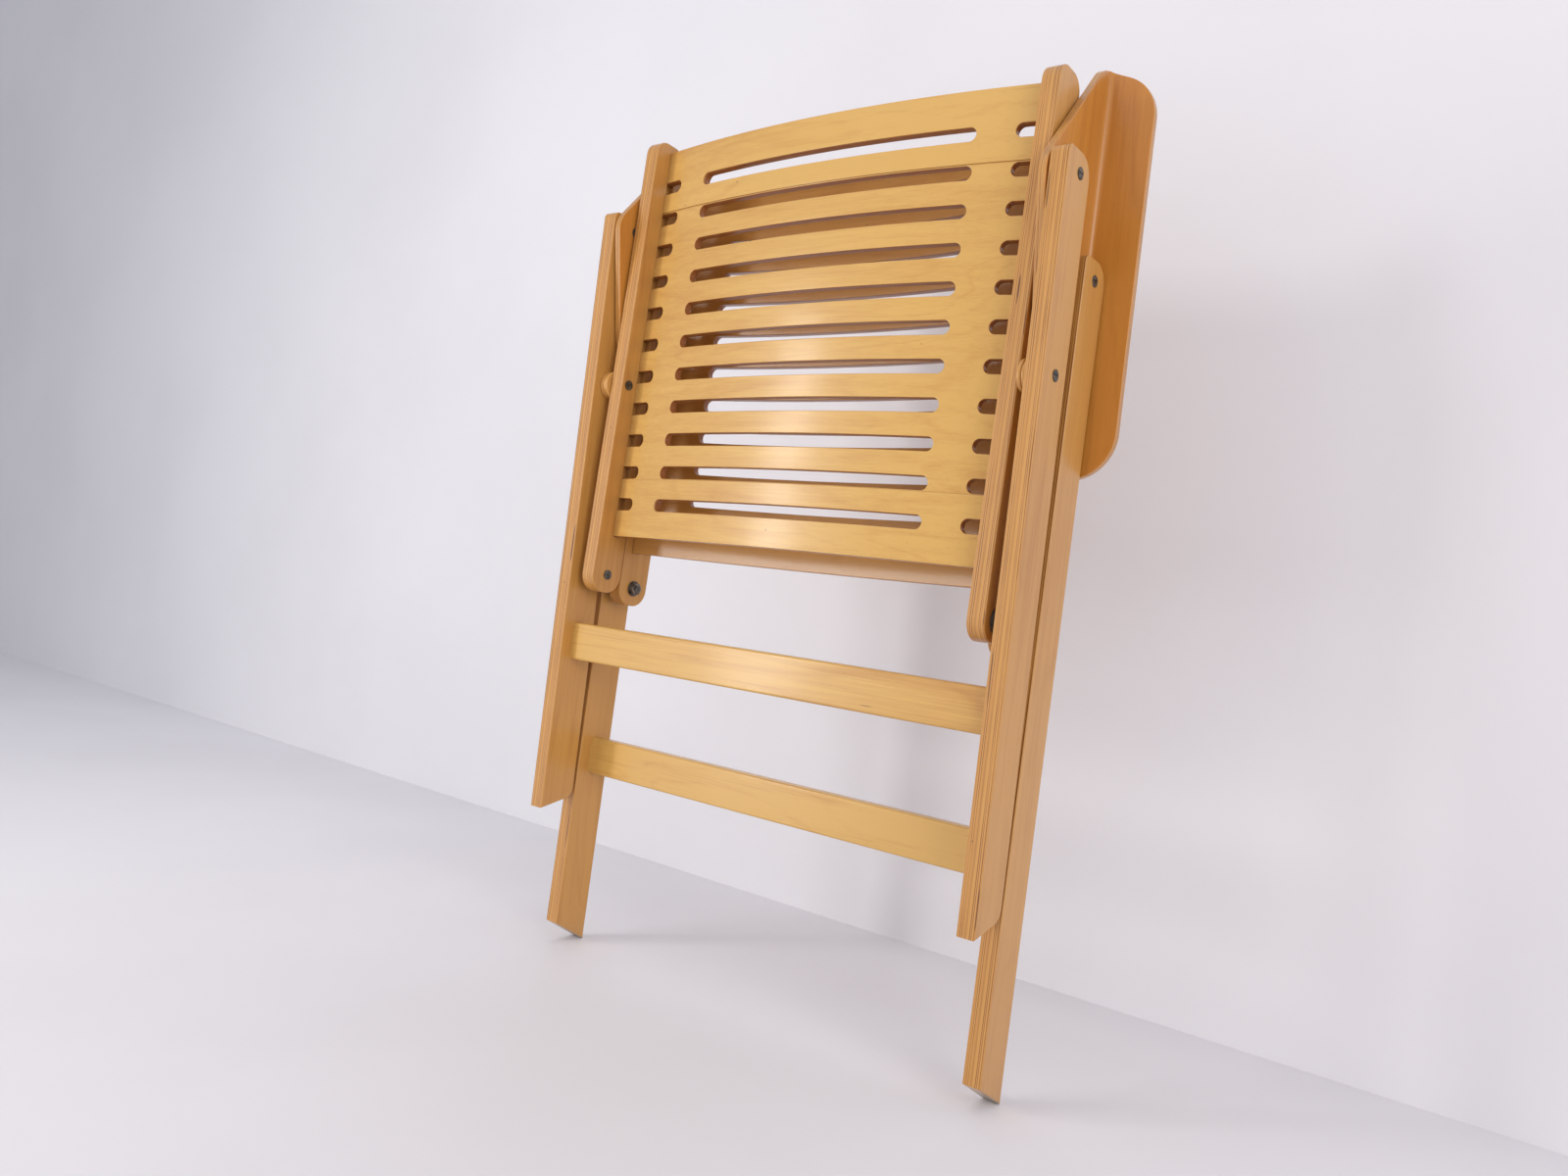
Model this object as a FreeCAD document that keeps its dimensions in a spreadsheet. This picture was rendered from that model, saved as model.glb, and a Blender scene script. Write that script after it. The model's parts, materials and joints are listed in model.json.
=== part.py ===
"""Folding armchair in bent and flat plywood, modelled folded and standing upright.

X runs across the chair, Y from its front face to its back face when folded, Z up.
The origin is on the floor, below the middle of the folded chair.
"""
import FreeCAD
import Part
import math
import os
import Sketcher

from FreeCAD import Placement, Rotation, Vector

STEP_FOLDER = "parts"
LEAN_AXIS = Vector(-1, 0, 0)
NEAR = 0.02

DIMENSIONS = {
    # planes across the chair, measured from the centre
    "ply": 18.0,
    "outer_plane": 267.0,
    "inner_plane": 237.0,
    "running_gap": 0.3,
    "depth_shift": -57.6,
    "eased": 1.2,
    # front leg frame, measured from the pivot at the top of the leg
    "leg_width": 46.0,
    "front_pivot_y": 25.5,
    "front_pivot_z": 831.0,
    "front_pivot_offset": 2.5,
    "front_leg_toe": 668.0,
    "front_leg_cut": 14.0,
    "leg_top_reach": 19.0,
    "leg_top_rear_radius": 20.0,
    "leg_top_front_radius": 7.0,
    "foot_radius": 13.0,
    "front_stretcher_drop": 496.4,
    "front_stretcher_set_back": 15.0,
    # rear leg frame, measured from the pivot at the top of the leg
    "rear_pivot_y": 82.5,
    "rear_pivot_z": 753.0,
    "rear_leg_tilt": 1.06,
    "rear_leg_cut": 27.44,
    "rear_stretcher_drop": 552.0,
    "rear_stretcher_set_back": 16.0,
    # stretchers and the dowels that hold them
    "stretcher_height": 42.0,
    "stretcher_thick": 16.0,
    "stretcher_round": 2.5,
    "dowel_radius": 3.95,
    "dowel_hole": 4.0,
    "dowel_in_leg": 12.0,
    "dowel_in_stretcher": 20.0,
    "dowel_half_spacing": 11.0,
    # rails, measured from the link pivot at their lower end
    "rail_width": 44.0,
    "rail_tilt": 2.18,
    "rail_end_reach": 20.5,
    "rail_end_radius": 20.0,
    "rail_top_radius": 16.0,
    "seat_rail_top": 504.0,
    "back_rail_top": 486.0,
    "seat_link_y": 28.2,
    "seat_link_z": 435.2,
    "link_across": 44.8,
    "link_drop": 10.6,
    "seat_pivot_along": 217.2,
    "seat_pivot_offset": 12.25,
    "back_pivot_along": 200.0,
    # panels, measured from the same pivots
    "panel_thick": 9.0,
    "panel_tongue": 6.0,
    "panel_sagitta": 19.2,
    "panel_edge": 0.6,
    "groove_low": 0.3,
    "groove_high": 11.2,
    "groove_depth": 6.4,
    "seat_panel_low": 45.0,
    "seat_panel_height": 450.0,
    "seat_slot_low": 82.0,
    "back_panel_low": 41.0,
    "back_panel_height": 437.0,
    "back_slot_low": 71.0,
    "slot_pitch": 37.0,
    "slot_half_height": 7.0,
    "long_slot_half": 171.0,
    "short_slot_inner": 210.0,
    "band_thick": 1.4,
    "band_margin": 1.0,
    # armrest
    "arm_ply": 8.0,
    "arm_inner": 257.0,
    "arm_outer": 312.5,
    "arm_rear": 115.2,
    "arm_bend": 14.0,
    "arm_top": 961.0,
    "arm_top_fall": 20.0,
    "arm_bottom": 574.0,
    "arm_corner": 45.0,
    "arm_eased": 1.0,
    "arm_waste": 20.0,
    "flange_top_y": 97.0,
    "flange_nose_y": -2.0,
    "flange_nose_z": 838.0,
    "flange_waist_y": 20.7,
    "flange_waist_z": 708.0,
    "flange_heel_y": 47.0,
    "flange_heel_z": 655.0,
    "flange_tail_y": 66.0,
    "flange_tail_z": 596.0,
    "flange_end_y": 84.0,
    "flange_nose_round": 30.0,
    "flange_top_round": 25.0,
    "flange_waist_round": 80.0,
    # metal parts and wooden spacers
    "screw_shank": 3.5,
    "screw_hole": 3.55,
    "screw_head": 5.5,
    "screw_head_height": 1.2,
    "driver_slot_width": 1.4,
    "driver_slot_depth": 0.7,
    "head_round": 0.5,
    "inner_head_height": 1.3,
    "inner_nut_radius": 6.0,
    "washer_height": 1.7,
    "pin_shank": 4.0,
    "pin_hole": 4.05,
    "back_pin_depth": 11.2,
    "open_pivot_hole": 6.9,
    "washer_radius": 9.0,
    "spacer_radius": 16.0,
    "strap_half_width": 12.0,
    "strap_thick": 3.0,
    "nut_half_width": 6.5,
    "nut_height": 5.0,
    "link_washer_height": 1.6,
    "bolt_end": 2.0,
    "bolt_chamfer": 0.8,
    "pin_head_height": 2.0,
    "bolt_head_height": 4.0,
}

SLOT_COUNT = 11
SIDES = (("left", -1), ("right", 1))
CUT_THROUGH = "3 * arm_outer"

doc = FreeCAD.newDocument("FoldingChair")
sheet = doc.addObject("Spreadsheet::Sheet", "Dimensions")
for row, (alias, number) in enumerate(DIMENSIONS.items(), start=1):
    sheet.set("A%d" % row, alias)
    sheet.set("B%d" % row, str(number))
    sheet.setAlias("B%d" % row, alias)
doc.recompute()


def dim(text):
    """Write an expression in short aliases out with the sheet's name in front of each."""
    words = []
    word = ""
    for letter in text + " ":
        if letter.isalnum() or letter == "_":
            word += letter
            continue
        words.append("Dimensions." + word if word in DIMENSIONS else word)
        words.append(letter)
        word = ""
    return "".join(words).strip()


def value(text):
    """The number that an expression in short aliases gives now."""
    result = sheet.evalExpression(dim(text))
    return float(getattr(result, "Value", result))


def new_body(label, x="0", y="0", z="0", lean="0"):
    """A body with its own origin at its pivot, leaning back by an angle about X."""
    body = doc.addObject("PartDesign::Body", label)
    body.Label = label
    body.AllowCompound = True
    place = Vector(value(x), value(y), value(z))
    body.Placement = Placement(place, Rotation(LEAN_AXIS, value(lean)))
    for axis, text in (("x", x), ("y", y), ("z", z)):
        body.setExpression("Placement.Base." + axis, dim(text))
    if lean != "0":
        body.setExpression("Placement.Rotation.Angle", dim(lean))
    return body


def origin_feature(body, role):
    for feature in body.Origin.OriginFeatures:
        if feature.Role == role:
            return feature
    raise RuntimeError("no origin feature " + role)


def new_sketch(body, role, name, offset="0"):
    """A sketch on one of the body's own planes, moved along the plane's normal."""
    sketch = body.newObject("Sketcher::SketchObject", body.Name + "_" + name)
    sketch.AttachmentSupport = [(origin_feature(body, role), "")]
    sketch.MapMode = "FlatFace"
    if offset != "0":
        sketch.AttachmentOffset = Placement(Vector(0, 0, value(offset)), Rotation())
        sketch.setExpression("AttachmentOffset.Base.z", dim(offset))
    return sketch


def bind(sketch, constraint, text):
    index = sketch.addConstraint(constraint)
    sketch.setExpression("Constraints[%d]" % index, dim(text))


def hold_point(sketch, geometry, end, x=None, y=None):
    """Hold one point of the sketch at expressions for its two distances from the origin."""
    for kind, text in (("DistanceX", x), ("DistanceY", y)):
        if text is not None:
            bind(sketch, Sketcher.Constraint(kind, -1, 1, geometry, end, value(text)), text)


def outline(sketch, corners):
    """A closed polygon through corners given as pairs of expressions."""
    places = [Vector(value(x), value(y), 0) for x, y in corners]
    first = sketch.GeometryCount
    count = len(places)
    for index, place in enumerate(places):
        sketch.addGeometry(Part.LineSegment(place, places[(index + 1) % count]), False)
    for index in range(count):
        after = first + (index + 1) % count
        sketch.addConstraint(Sketcher.Constraint("Coincident", first + index, 2, after, 1))
    for index, (x, y) in enumerate(corners):
        hold_point(sketch, first + index, 1, x, y)


def circle(sketch, x, y, radius):
    centre = Vector(value(x), value(y), 0)
    geometry = sketch.addGeometry(Part.Circle(centre, Vector(0, 0, 1), value(radius)), False)
    hold_point(sketch, geometry, 3, x, y)
    bind(sketch, Sketcher.Constraint("Radius", geometry, value(radius)), radius)


def arc(sketch, x, y, radius, start, end):
    """An arc about a held centre; start and end are in degrees."""
    whole = Part.Circle(Vector(value(x), value(y), 0), Vector(0, 0, 1), value(radius))
    piece = Part.ArcOfCircle(whole, math.radians(start), math.radians(end))
    geometry = sketch.addGeometry(piece, False)
    hold_point(sketch, geometry, 3, x, y)
    bind(sketch, Sketcher.Constraint("Radius", geometry, value(radius)), radius)
    return geometry


def join(sketch, one, one_end, other, other_end):
    """A line from an end of one curve to an end of another."""
    line = Part.LineSegment(sketch.getPoint(one, one_end), sketch.getPoint(other, other_end))
    geometry = sketch.addGeometry(line, False)
    sketch.addConstraint(Sketcher.Constraint("Coincident", geometry, 1, one, one_end))
    sketch.addConstraint(Sketcher.Constraint("Coincident", geometry, 2, other, other_end))
    return geometry


def extrude(body, kind, sketch, length, reverse=False, midplane=False):
    """A Pad or Pocket of the sketch, refused if a Pocket takes nothing away."""
    before = body.Tip.Shape.Volume if body.Tip else 0
    feature = body.newObject("PartDesign::" + kind, sketch.Name + "_" + kind)
    feature.Profile = sketch
    feature.setExpression("Length", dim(length))
    feature.Reversed = reverse
    feature.Midplane = midplane
    sketch.Visibility = False
    doc.recompute()
    if kind == "Pocket" and not feature.Shape.Volume < before - 1:
        raise RuntimeError(feature.Name + " cuts nothing")
    return feature


def fillet(body, name, radius, chosen):
    """Round the edges of the body for which chosen(edge) is true."""
    base = body.Tip
    edges = ["Edge%d" % number for number, edge in enumerate(base.Shape.Edges, start=1) if chosen(edge)]
    if not edges:
        raise RuntimeError("no edges for " + body.Name + name)
    feature = body.newObject("PartDesign::Fillet", body.Name + "_" + name)
    feature.Base = (base, edges)
    feature.setExpression("Radius", dim(radius))
    doc.recompute()
    if not feature.Shape.isValid() or "Invalid" in feature.State:
        raise RuntimeError("the fillet failed: " + feature.Name)
    return feature


def along(edge, axis, places=None):
    """Whether a straight edge runs along an axis, at one of the places given for the other two."""
    if edge.Curve.TypeId != "Part::GeomLine":
        return False
    if abs(edge.tangentAt(edge.FirstParameter)[axis]) < 0.999:
        return False
    if places is None:
        return True
    others = [number for number in range(3) if number != axis]
    middle = edge.CenterOfMass
    spot = (middle[others[0]], middle[others[1]])
    return any(math.dist(spot, (value(a), value(b))) < NEAR for a, b in places)


def on_plane(edge, axis, level):
    """Whether the whole edge lies at one level of an axis."""
    box = edge.BoundBox
    low, high = ((box.XMin, box.XMax), (box.YMin, box.YMax), (box.ZMin, box.ZMax))[axis]
    return abs(low - level) < NEAR and abs(high - level) < NEAR


def ease_faces(body, levels):
    """Take the sharpness off the edges of a flat piece's two faces."""
    numbers = [value(level) for level in levels]
    fillet(body, "eased", "eased", lambda edge: any(on_plane(edge, 0, number) for number in numbers))


# ---------------------------------------------------------------- flat ply pieces

def flat_piece(label, side, plane, corners, place, rounds, holes, blind, from_outside=False):
    """A flat ply piece on one side of the chair, its inner face on the given plane.

    rounds are (radius, corner indices), holes (y, z, radius) and blind holes (y, z, radius, depth).
    """
    y, z, turn = place
    body = new_body(label, "%d * %s" % (side, plane), y, z, turn)
    sketch = new_sketch(body, "YZ_Plane", "outline")
    outline(sketch, corners)
    extrude(body, "Pad", sketch, "ply", reverse=side < 0)
    for radius, indices in rounds:
        places = [corners[index] for index in indices]
        fillet(body, "round_" + radius, radius, lambda edge: along(edge, 0, places))
    ease_faces(body, ("0", "%d * ply" % side))
    sketch = new_sketch(body, "YZ_Plane", "holes")
    for hole_y, hole_z, radius in holes:
        circle(sketch, hole_y, hole_z, radius)
    extrude(body, "Pocket", sketch, CUT_THROUGH, midplane=True)
    if blind:
        face = "%d * ply" % side if from_outside else "0"
        sketch = new_sketch(body, "YZ_Plane", "blind_holes", face)
        for hole_y, hole_z, radius, depth in blind:
            circle(sketch, hole_y, hole_z, radius)
        extrude(body, "Pocket", sketch, depth, reverse=(side > 0) != from_outside)
    return body


FRONT_PLACE = ("front_pivot_y + depth_shift", "front_pivot_z", "0")
REAR_PLACE = ("rear_pivot_y + depth_shift", "rear_pivot_z", "rear_leg_tilt")
SEAT_PLACE = ("seat_link_y + depth_shift", "seat_link_z", "rail_tilt")
BACK_PLACE = (
    "seat_link_y + link_across * cos(rail_tilt * 1 deg) - link_drop * sin(rail_tilt * 1 deg) + depth_shift",
    "seat_link_z - link_across * sin(rail_tilt * 1 deg) - link_drop * cos(rail_tilt * 1 deg)",
    "rail_tilt",
)
REAR_UPRIGHT = ("rear_pivot_y + depth_shift", "rear_pivot_z", "0")
FRONT_LOW_Y = "-leg_width / 2 - front_pivot_offset"
FRONT_HIGH_Y = "leg_width / 2 - front_pivot_offset"
REAR_HEEL = "-(rear_pivot_z - leg_width / 2 * sin(rear_leg_tilt * 1 deg)) / cos(rear_leg_tilt * 1 deg)"
BACK_PIVOT_Y = "(%s) + back_pivot_along * sin(rail_tilt * 1 deg) - rear_pivot_y - depth_shift" % BACK_PLACE[0]
BACK_PIVOT_Z = "(%s) + back_pivot_along * cos(rail_tilt * 1 deg) - rear_pivot_z" % BACK_PLACE[1]
SEAT_PIVOT = ("-seat_pivot_offset", "seat_pivot_along")
FRONT_STRETCHER_Y = FRONT_LOW_Y + " + front_stretcher_set_back"
REAR_STRETCHER_Y = "-leg_width / 2 + rear_stretcher_set_back"


def dowel_spots(stretcher_y, drop):
    """The centres of a stretcher's two dowels, one above the other."""
    y = stretcher_y + " + stretcher_thick / 2"
    middle = "-%s + stretcher_height / 2" % drop
    return [(y, middle + " - dowel_half_spacing"), (y, middle + " + dowel_half_spacing")]


FRONT_DOWELS = dowel_spots(FRONT_STRETCHER_Y, "front_stretcher_drop")
REAR_DOWELS = dowel_spots(REAR_STRETCHER_Y, "rear_stretcher_drop")


def front_leg(name, side):
    """The foot is cut at an angle, with its longer corner in front."""
    cut = "-front_leg_toe + leg_width * tan(front_leg_cut * 1 deg)"
    corners = [
        (FRONT_LOW_Y, "-front_leg_toe"),
        (FRONT_HIGH_Y, cut),
        (FRONT_HIGH_Y, "leg_top_reach"),
        (FRONT_LOW_Y, "leg_top_reach"),
    ]
    rounds = [("foot_radius", (1,)), ("leg_top_rear_radius", (2,)), ("leg_top_front_radius", (3,))]
    holes = [
        ("0", "0", "screw_hole"),
        ("seat_link_y - front_pivot_y - seat_pivot_offset * cos(rail_tilt * 1 deg)"
         " + seat_pivot_along * sin(rail_tilt * 1 deg)",
         "seat_link_z - front_pivot_z + seat_pivot_offset * sin(rail_tilt * 1 deg)"
         " + seat_pivot_along * cos(rail_tilt * 1 deg)", "screw_hole"),
    ]
    blind = [(y, z, "dowel_hole", "dowel_in_leg + running_gap") for y, z in FRONT_DOWELS]
    return flat_piece(name + "_front_leg", side, "outer_plane", corners, FRONT_PLACE, rounds, holes, blind)


def rear_leg(name, side):
    """The foot is cut level for the open chair, with its longer corner behind."""
    corners = [
        ("-leg_width / 2", REAR_HEEL + " + leg_width * tan(rear_leg_cut * 1 deg)"),
        ("leg_width / 2", REAR_HEEL),
        ("leg_width / 2", "leg_top_reach"),
        ("-leg_width / 2", "leg_top_reach"),
    ]
    rounds = [("leg_top_rear_radius", (2,)), ("leg_top_front_radius", (3,))]
    holes = [("0", "0", "screw_hole")]
    blind = [(y, z, "dowel_hole", "dowel_in_leg + running_gap") for y, z in REAR_DOWELS]
    return flat_piece(name + "_rear_leg", side, "outer_plane", corners, REAR_PLACE, rounds, holes, blind)


def rail(label, side, place, top, panel_low, panel_height, facing, holes, blind=()):
    """A side rail with a groove for its panel; facing is 1 where the panel bulges forwards."""
    corners = [
        ("-rail_width / 2", "-rail_end_reach"),
        ("rail_width / 2", "-rail_end_reach"),
        ("rail_width / 2", top),
        ("-rail_width / 2", top),
    ]
    rounds = [("rail_end_radius", (0, 1)), ("rail_top_radius", (2, 3))]
    body = flat_piece(label, side, "inner_plane", corners, place, rounds, holes, blind, from_outside=True)
    sketch = new_sketch(body, "YZ_Plane", "groove")
    low = "%d * groove_low" % facing
    high = "%d * groove_high" % facing
    floor = panel_low + " - running_gap"
    ceiling = "%s + %s + running_gap" % (panel_low, panel_height)
    outline(sketch, [(low, floor), (high, floor), (high, ceiling), (low, ceiling)])
    extrude(body, "Pocket", sketch, "groove_depth", reverse=side > 0)
    return body


# ---------------------------------------------------------------- stretchers and dowels

def stretcher(label, place, y, drop, dowels):
    """A flat bar between two legs, bored for its dowels at both ends."""
    body = new_body(label, "0", *place)
    sketch = new_sketch(body, "YZ_Plane", "section")
    far_y = y + " + stretcher_thick"
    low = "-" + drop
    high = "-%s + stretcher_height" % drop
    outline(sketch, [(y, low), (far_y, low), (far_y, high), (y, high)])
    extrude(body, "Pad", sketch, "2 * outer_plane", midplane=True)
    fillet(body, "rounded", "stretcher_round", lambda edge: along(edge, 0))
    for side, offset in ((1, "outer_plane"), (-1, "-outer_plane")):
        sketch = new_sketch(body, "YZ_Plane", "bores_%d" % (side + 1), offset)
        for dowel_y, dowel_z in dowels:
            circle(sketch, dowel_y, dowel_z, "dowel_hole")
        extrude(body, "Pocket", sketch, "dowel_in_stretcher + running_gap", reverse=side < 0)
    return body


def dowels(label, place, spots):
    """The four dowels of one stretcher, two at each end."""
    body = new_body(label, "0", *place)
    sketch = new_sketch(body, "YZ_Plane", "circles", "outer_plane - dowel_in_stretcher")
    for y, z in spots:
        circle(sketch, y, z, "dowel_radius")
    extrude(body, "Pad", sketch, "dowel_in_stretcher + dowel_in_leg")
    return mirror(body, [body.Tip])


def mirror(body, originals):
    """Repeat features on the other side of the chair's middle."""
    feature = body.newObject("PartDesign::Mirrored", body.Name + "_both_sides")
    feature.Originals = originals
    feature.MirrorPlane = (origin_feature(body, "YZ_Plane"), [""])
    body.Tip = feature
    doc.recompute()
    return body


# ---------------------------------------------------------------- turned pieces

def turned_pair(label, place, profile):
    """One turned piece on each side; profile is (x, radius) from its inner end to its outer end."""
    body = new_body(label, "0", *place)
    sketch = new_sketch(body, "XY_Plane", "profile")
    corners = [(profile[0][0], "0")] + list(profile) + [(profile[-1][0], "0")]
    outline(sketch, corners)
    feature = body.newObject("PartDesign::Revolution", label + "_turned")
    feature.Profile = sketch
    feature.ReferenceAxis = (sketch, ["H_Axis"])
    feature.Angle = 360
    sketch.Visibility = False
    body.Tip = feature
    doc.recompute()
    return mirror(body, [feature])


def ring_pair(label, place, low, high, radius, hole):
    """A washer or spacer on each side, between two planes."""
    body = new_body(label, "0", *place)
    sketch = new_sketch(body, "YZ_Plane", "ring", low)
    circle(sketch, "0", "0", radius)
    circle(sketch, "0", "0", hole)
    extrude(body, "Pad", sketch, "(%s) - (%s)" % (high, low))
    return mirror(body, [body.Tip])


def slot_heads(body, turned, level):
    """A screwdriver slot in each outer head, which ends at the given level."""
    sketch = new_sketch(body, "YZ_Plane", "driver_slot", level + " - driver_slot_depth")
    right, left = "screw_head + running_gap", "-(screw_head + running_gap)"
    low, high = "-driver_slot_width / 2", "driver_slot_width / 2"
    outline(sketch, [(left, low), (right, low), (right, high), (left, high)])
    body.Tip = turned
    cut = extrude(body, "Pocket", sketch, "2 * driver_slot_depth", reverse=True)
    return mirror(body, [turned, cut])


# ---------------------------------------------------------------- seat and back panels

PANEL_RADIUS = "((inner_plane ^ 2 + panel_sagitta ^ 2) / (2 * panel_sagitta))"
PANEL_CENTRE = "(panel_edge - panel_sagitta + %s)" % PANEL_RADIUS


def arc_band(sketch, facing, inner, outer, half_width):
    """A band between two arcs about the panel's centre, symmetric about the chair's middle."""
    centre = "%d * %s" % (facing, PANEL_CENTRE)
    reach = math.degrees(math.asin(value(half_width) / value(outer)))
    middle = -90 * facing
    small = arc(sketch, "0", centre, inner, middle - reach, middle + reach)
    large = arc(sketch, "0", centre, outer, middle - reach, middle + reach)
    for curve in (small, large):
        for end, sign in ((1, -facing), (2, facing)):
            hold_point(sketch, curve, end, x="%d * (%s)" % (sign, half_width))
    join(sketch, small, 1, large, 1)
    join(sketch, small, 2, large, 2)


def slot(sketch, start, stop, level):
    """A level slot with round ends; start and stop are its two ends."""
    radius = "slot_half_height"
    ends = (("(%s) + %s" % (start, radius), 90), ("(%s) - %s" % (stop, radius), 270))
    curves = []
    for middle, angle in ends:
        curve = arc(sketch, middle, level, radius, angle, angle + 180)
        for end in (1, 2):
            hold_point(sketch, curve, end, x=middle)
        curves.append(curve)
    join(sketch, curves[0], 1, curves[1], 2)
    join(sketch, curves[0], 2, curves[1], 1)


def cut_slots(body, level, count):
    """Rows of one long slot and two short ones that run out under the rails, from a level upwards."""
    sketch = new_sketch(body, "XZ_Plane", "slots")
    slot(sketch, "-long_slot_half", "long_slot_half", level)
    beyond = "inner_plane + panel_tongue + 3 * slot_half_height"
    slot(sketch, "short_slot_inner", beyond, level)
    slot(sketch, "-(%s)" % beyond, "-short_slot_inner", level)
    cut = extrude(body, "Pocket", sketch, CUT_THROUGH, midplane=True)
    if count > 1:
        rows = body.newObject("PartDesign::LinearPattern", body.Name + "_rows")
        rows.Originals = [cut]
        rows.Direction = (origin_feature(body, "Z_Axis"), [""])
        rows.Occurrences = count
        rows.setExpression("Length", dim("%d * slot_pitch" % (count - 1)))
        body.Tip = rows
        doc.recompute()


def panel(label, place, facing, low, height, slot_low):
    body = new_body(label, "0", *place)
    sketch = new_sketch(body, "XY_Plane", "section", low)
    arc_band(sketch, facing, PANEL_RADIUS + " - panel_thick", PANEL_RADIUS, "inner_plane + panel_tongue")
    extrude(body, "Pad", sketch, height)
    cut_slots(body, slot_low, SLOT_COUNT)
    return body


def band(label, place, facing, low, high, slot_level):
    """A strip of thicker veneer on the bulging face, at one end of a panel."""
    body = new_body(label, "0", *place)
    sketch = new_sketch(body, "XY_Plane", "section", low)
    arc_band(sketch, facing, PANEL_RADIUS, PANEL_RADIUS + " + band_thick", "inner_plane - running_gap")
    extrude(body, "Pad", sketch, "(%s) - (%s)" % (high, low))
    cut_slots(body, slot_level, 1)
    return body


# ---------------------------------------------------------------- armrests

def round_corner(sketch, first, count, index, radius):
    """Round one corner of an outline that starts at geometry first; the corner stays held."""
    line = first + index
    before = first + (index - 1) % count
    corner = sketch.getPoint(line, 1)
    ends = (sketch.getPoint(before, 1) + corner) / 2, (sketch.getPoint(line, 2) + corner) / 2
    made = sketch.GeometryCount
    sketch.fillet(before, line, ends[0], ends[1], value(radius), True, True)
    for curve in range(made, sketch.GeometryCount):
        if sketch.Geometry[curve].TypeId == "Part::GeomArcOfCircle":
            bind(sketch, Sketcher.Constraint("Radius", curve, value(radius)), radius)


def armrest(name, side):
    """A flange beside the frames and a broad plate across the back, bent from one ply sheet."""
    body = new_body(name + "_armrest", "0", *REAR_UPRIGHT)
    sketch = new_sketch(body, "XY_Plane", "section", "arm_bottom - rear_pivot_z")
    near, far = "%d * arm_inner" % side, "%d * arm_outer" % side
    front, rear = "flange_nose_y - arm_waste - rear_pivot_y", "arm_rear - rear_pivot_y"
    flange, plate = "%s + %d * arm_ply" % (near, side), rear + " - arm_ply"
    corners = [(near, front), (flange, front), (flange, plate), (far, plate), (far, rear), (near, rear)]
    outline(sketch, corners)
    extrude(body, "Pad", sketch, "arm_top - arm_bottom")
    fillet(body, "bend", "arm_bend", lambda edge: along(edge, 2, [corners[5]]))
    fillet(body, "inner_bend", "arm_bend - arm_ply", lambda edge: along(edge, 2, [corners[2]]))
    profile = [
        ("flange_top_y", "arm_top"),
        ("flange_nose_y", "flange_nose_z"),
        ("flange_waist_y", "flange_waist_z"),
        ("flange_heel_y", "flange_heel_z"),
        ("flange_tail_y", "flange_tail_z"),
        ("flange_end_y", "arm_bottom"),
        ("flange_nose_y - 2 * arm_waste", "arm_bottom - arm_waste"),
        ("flange_nose_y - 2 * arm_waste", "arm_top + arm_waste"),
        ("arm_rear", "arm_top + arm_waste"),
        ("arm_rear", "arm_top"),
    ]
    profile = [(y + " - rear_pivot_y", z + " - rear_pivot_z") for y, z in profile]
    sketch = new_sketch(body, "YZ_Plane", "flange_outline")
    outline(sketch, profile)
    for index, radius in ((0, "flange_top_round"), (1, "flange_nose_round"), (2, "flange_waist_round")):
        round_corner(sketch, 0, len(profile), index, radius)
    extrude(body, "Pocket", sketch, CUT_THROUGH, midplane=True)
    sketch = new_sketch(body, "XZ_Plane", "sloping_top")
    top = "arm_top - rear_pivot_z"
    bend = "%s + %d * arm_ply" % (near, side)
    low = top + " - arm_top_fall"
    above = top + " + arm_waste"
    beyond = "%s + %d * arm_waste" % (far, side)
    outline(sketch, [(bend, top), (far, low), (beyond, low), (beyond, above), (bend, above)])
    extrude(body, "Pocket", sketch, CUT_THROUGH, midplane=True)
    outer = value(far)
    fillet(body, "corners", "arm_corner", lambda edge: along(edge, 1) and on_plane(edge, 0, outer))
    middle_y = rear + " - arm_bend"
    middle_x = "%s + %d * arm_bend" % (near, side)
    bend_lines = [(near, middle_y), (flange, middle_y), (middle_x, plate), (middle_x, rear)]

    def rim(edge):
        on_flange = any(on_plane(edge, 0, value(level)) for level in (near, flange))
        on_plate = any(on_plane(edge, 1, value(level)) for level in (plate, rear))
        return (on_flange or on_plate) and not along(edge, 2, bend_lines)

    fillet(body, "eased", "arm_eased", rim)
    sketch = new_sketch(body, "YZ_Plane", "holes")
    circle(sketch, "front_pivot_y - rear_pivot_y", "front_pivot_z - rear_pivot_z", "screw_hole")
    circle(sketch, "0", "0", "screw_hole")
    circle(sketch, BACK_PIVOT_Y, BACK_PIVOT_Z, "open_pivot_hole")
    extrude(body, "Pocket", sketch, CUT_THROUGH, midplane=True)
    return body


# ---------------------------------------------------------------- straps, nuts and heads

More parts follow.
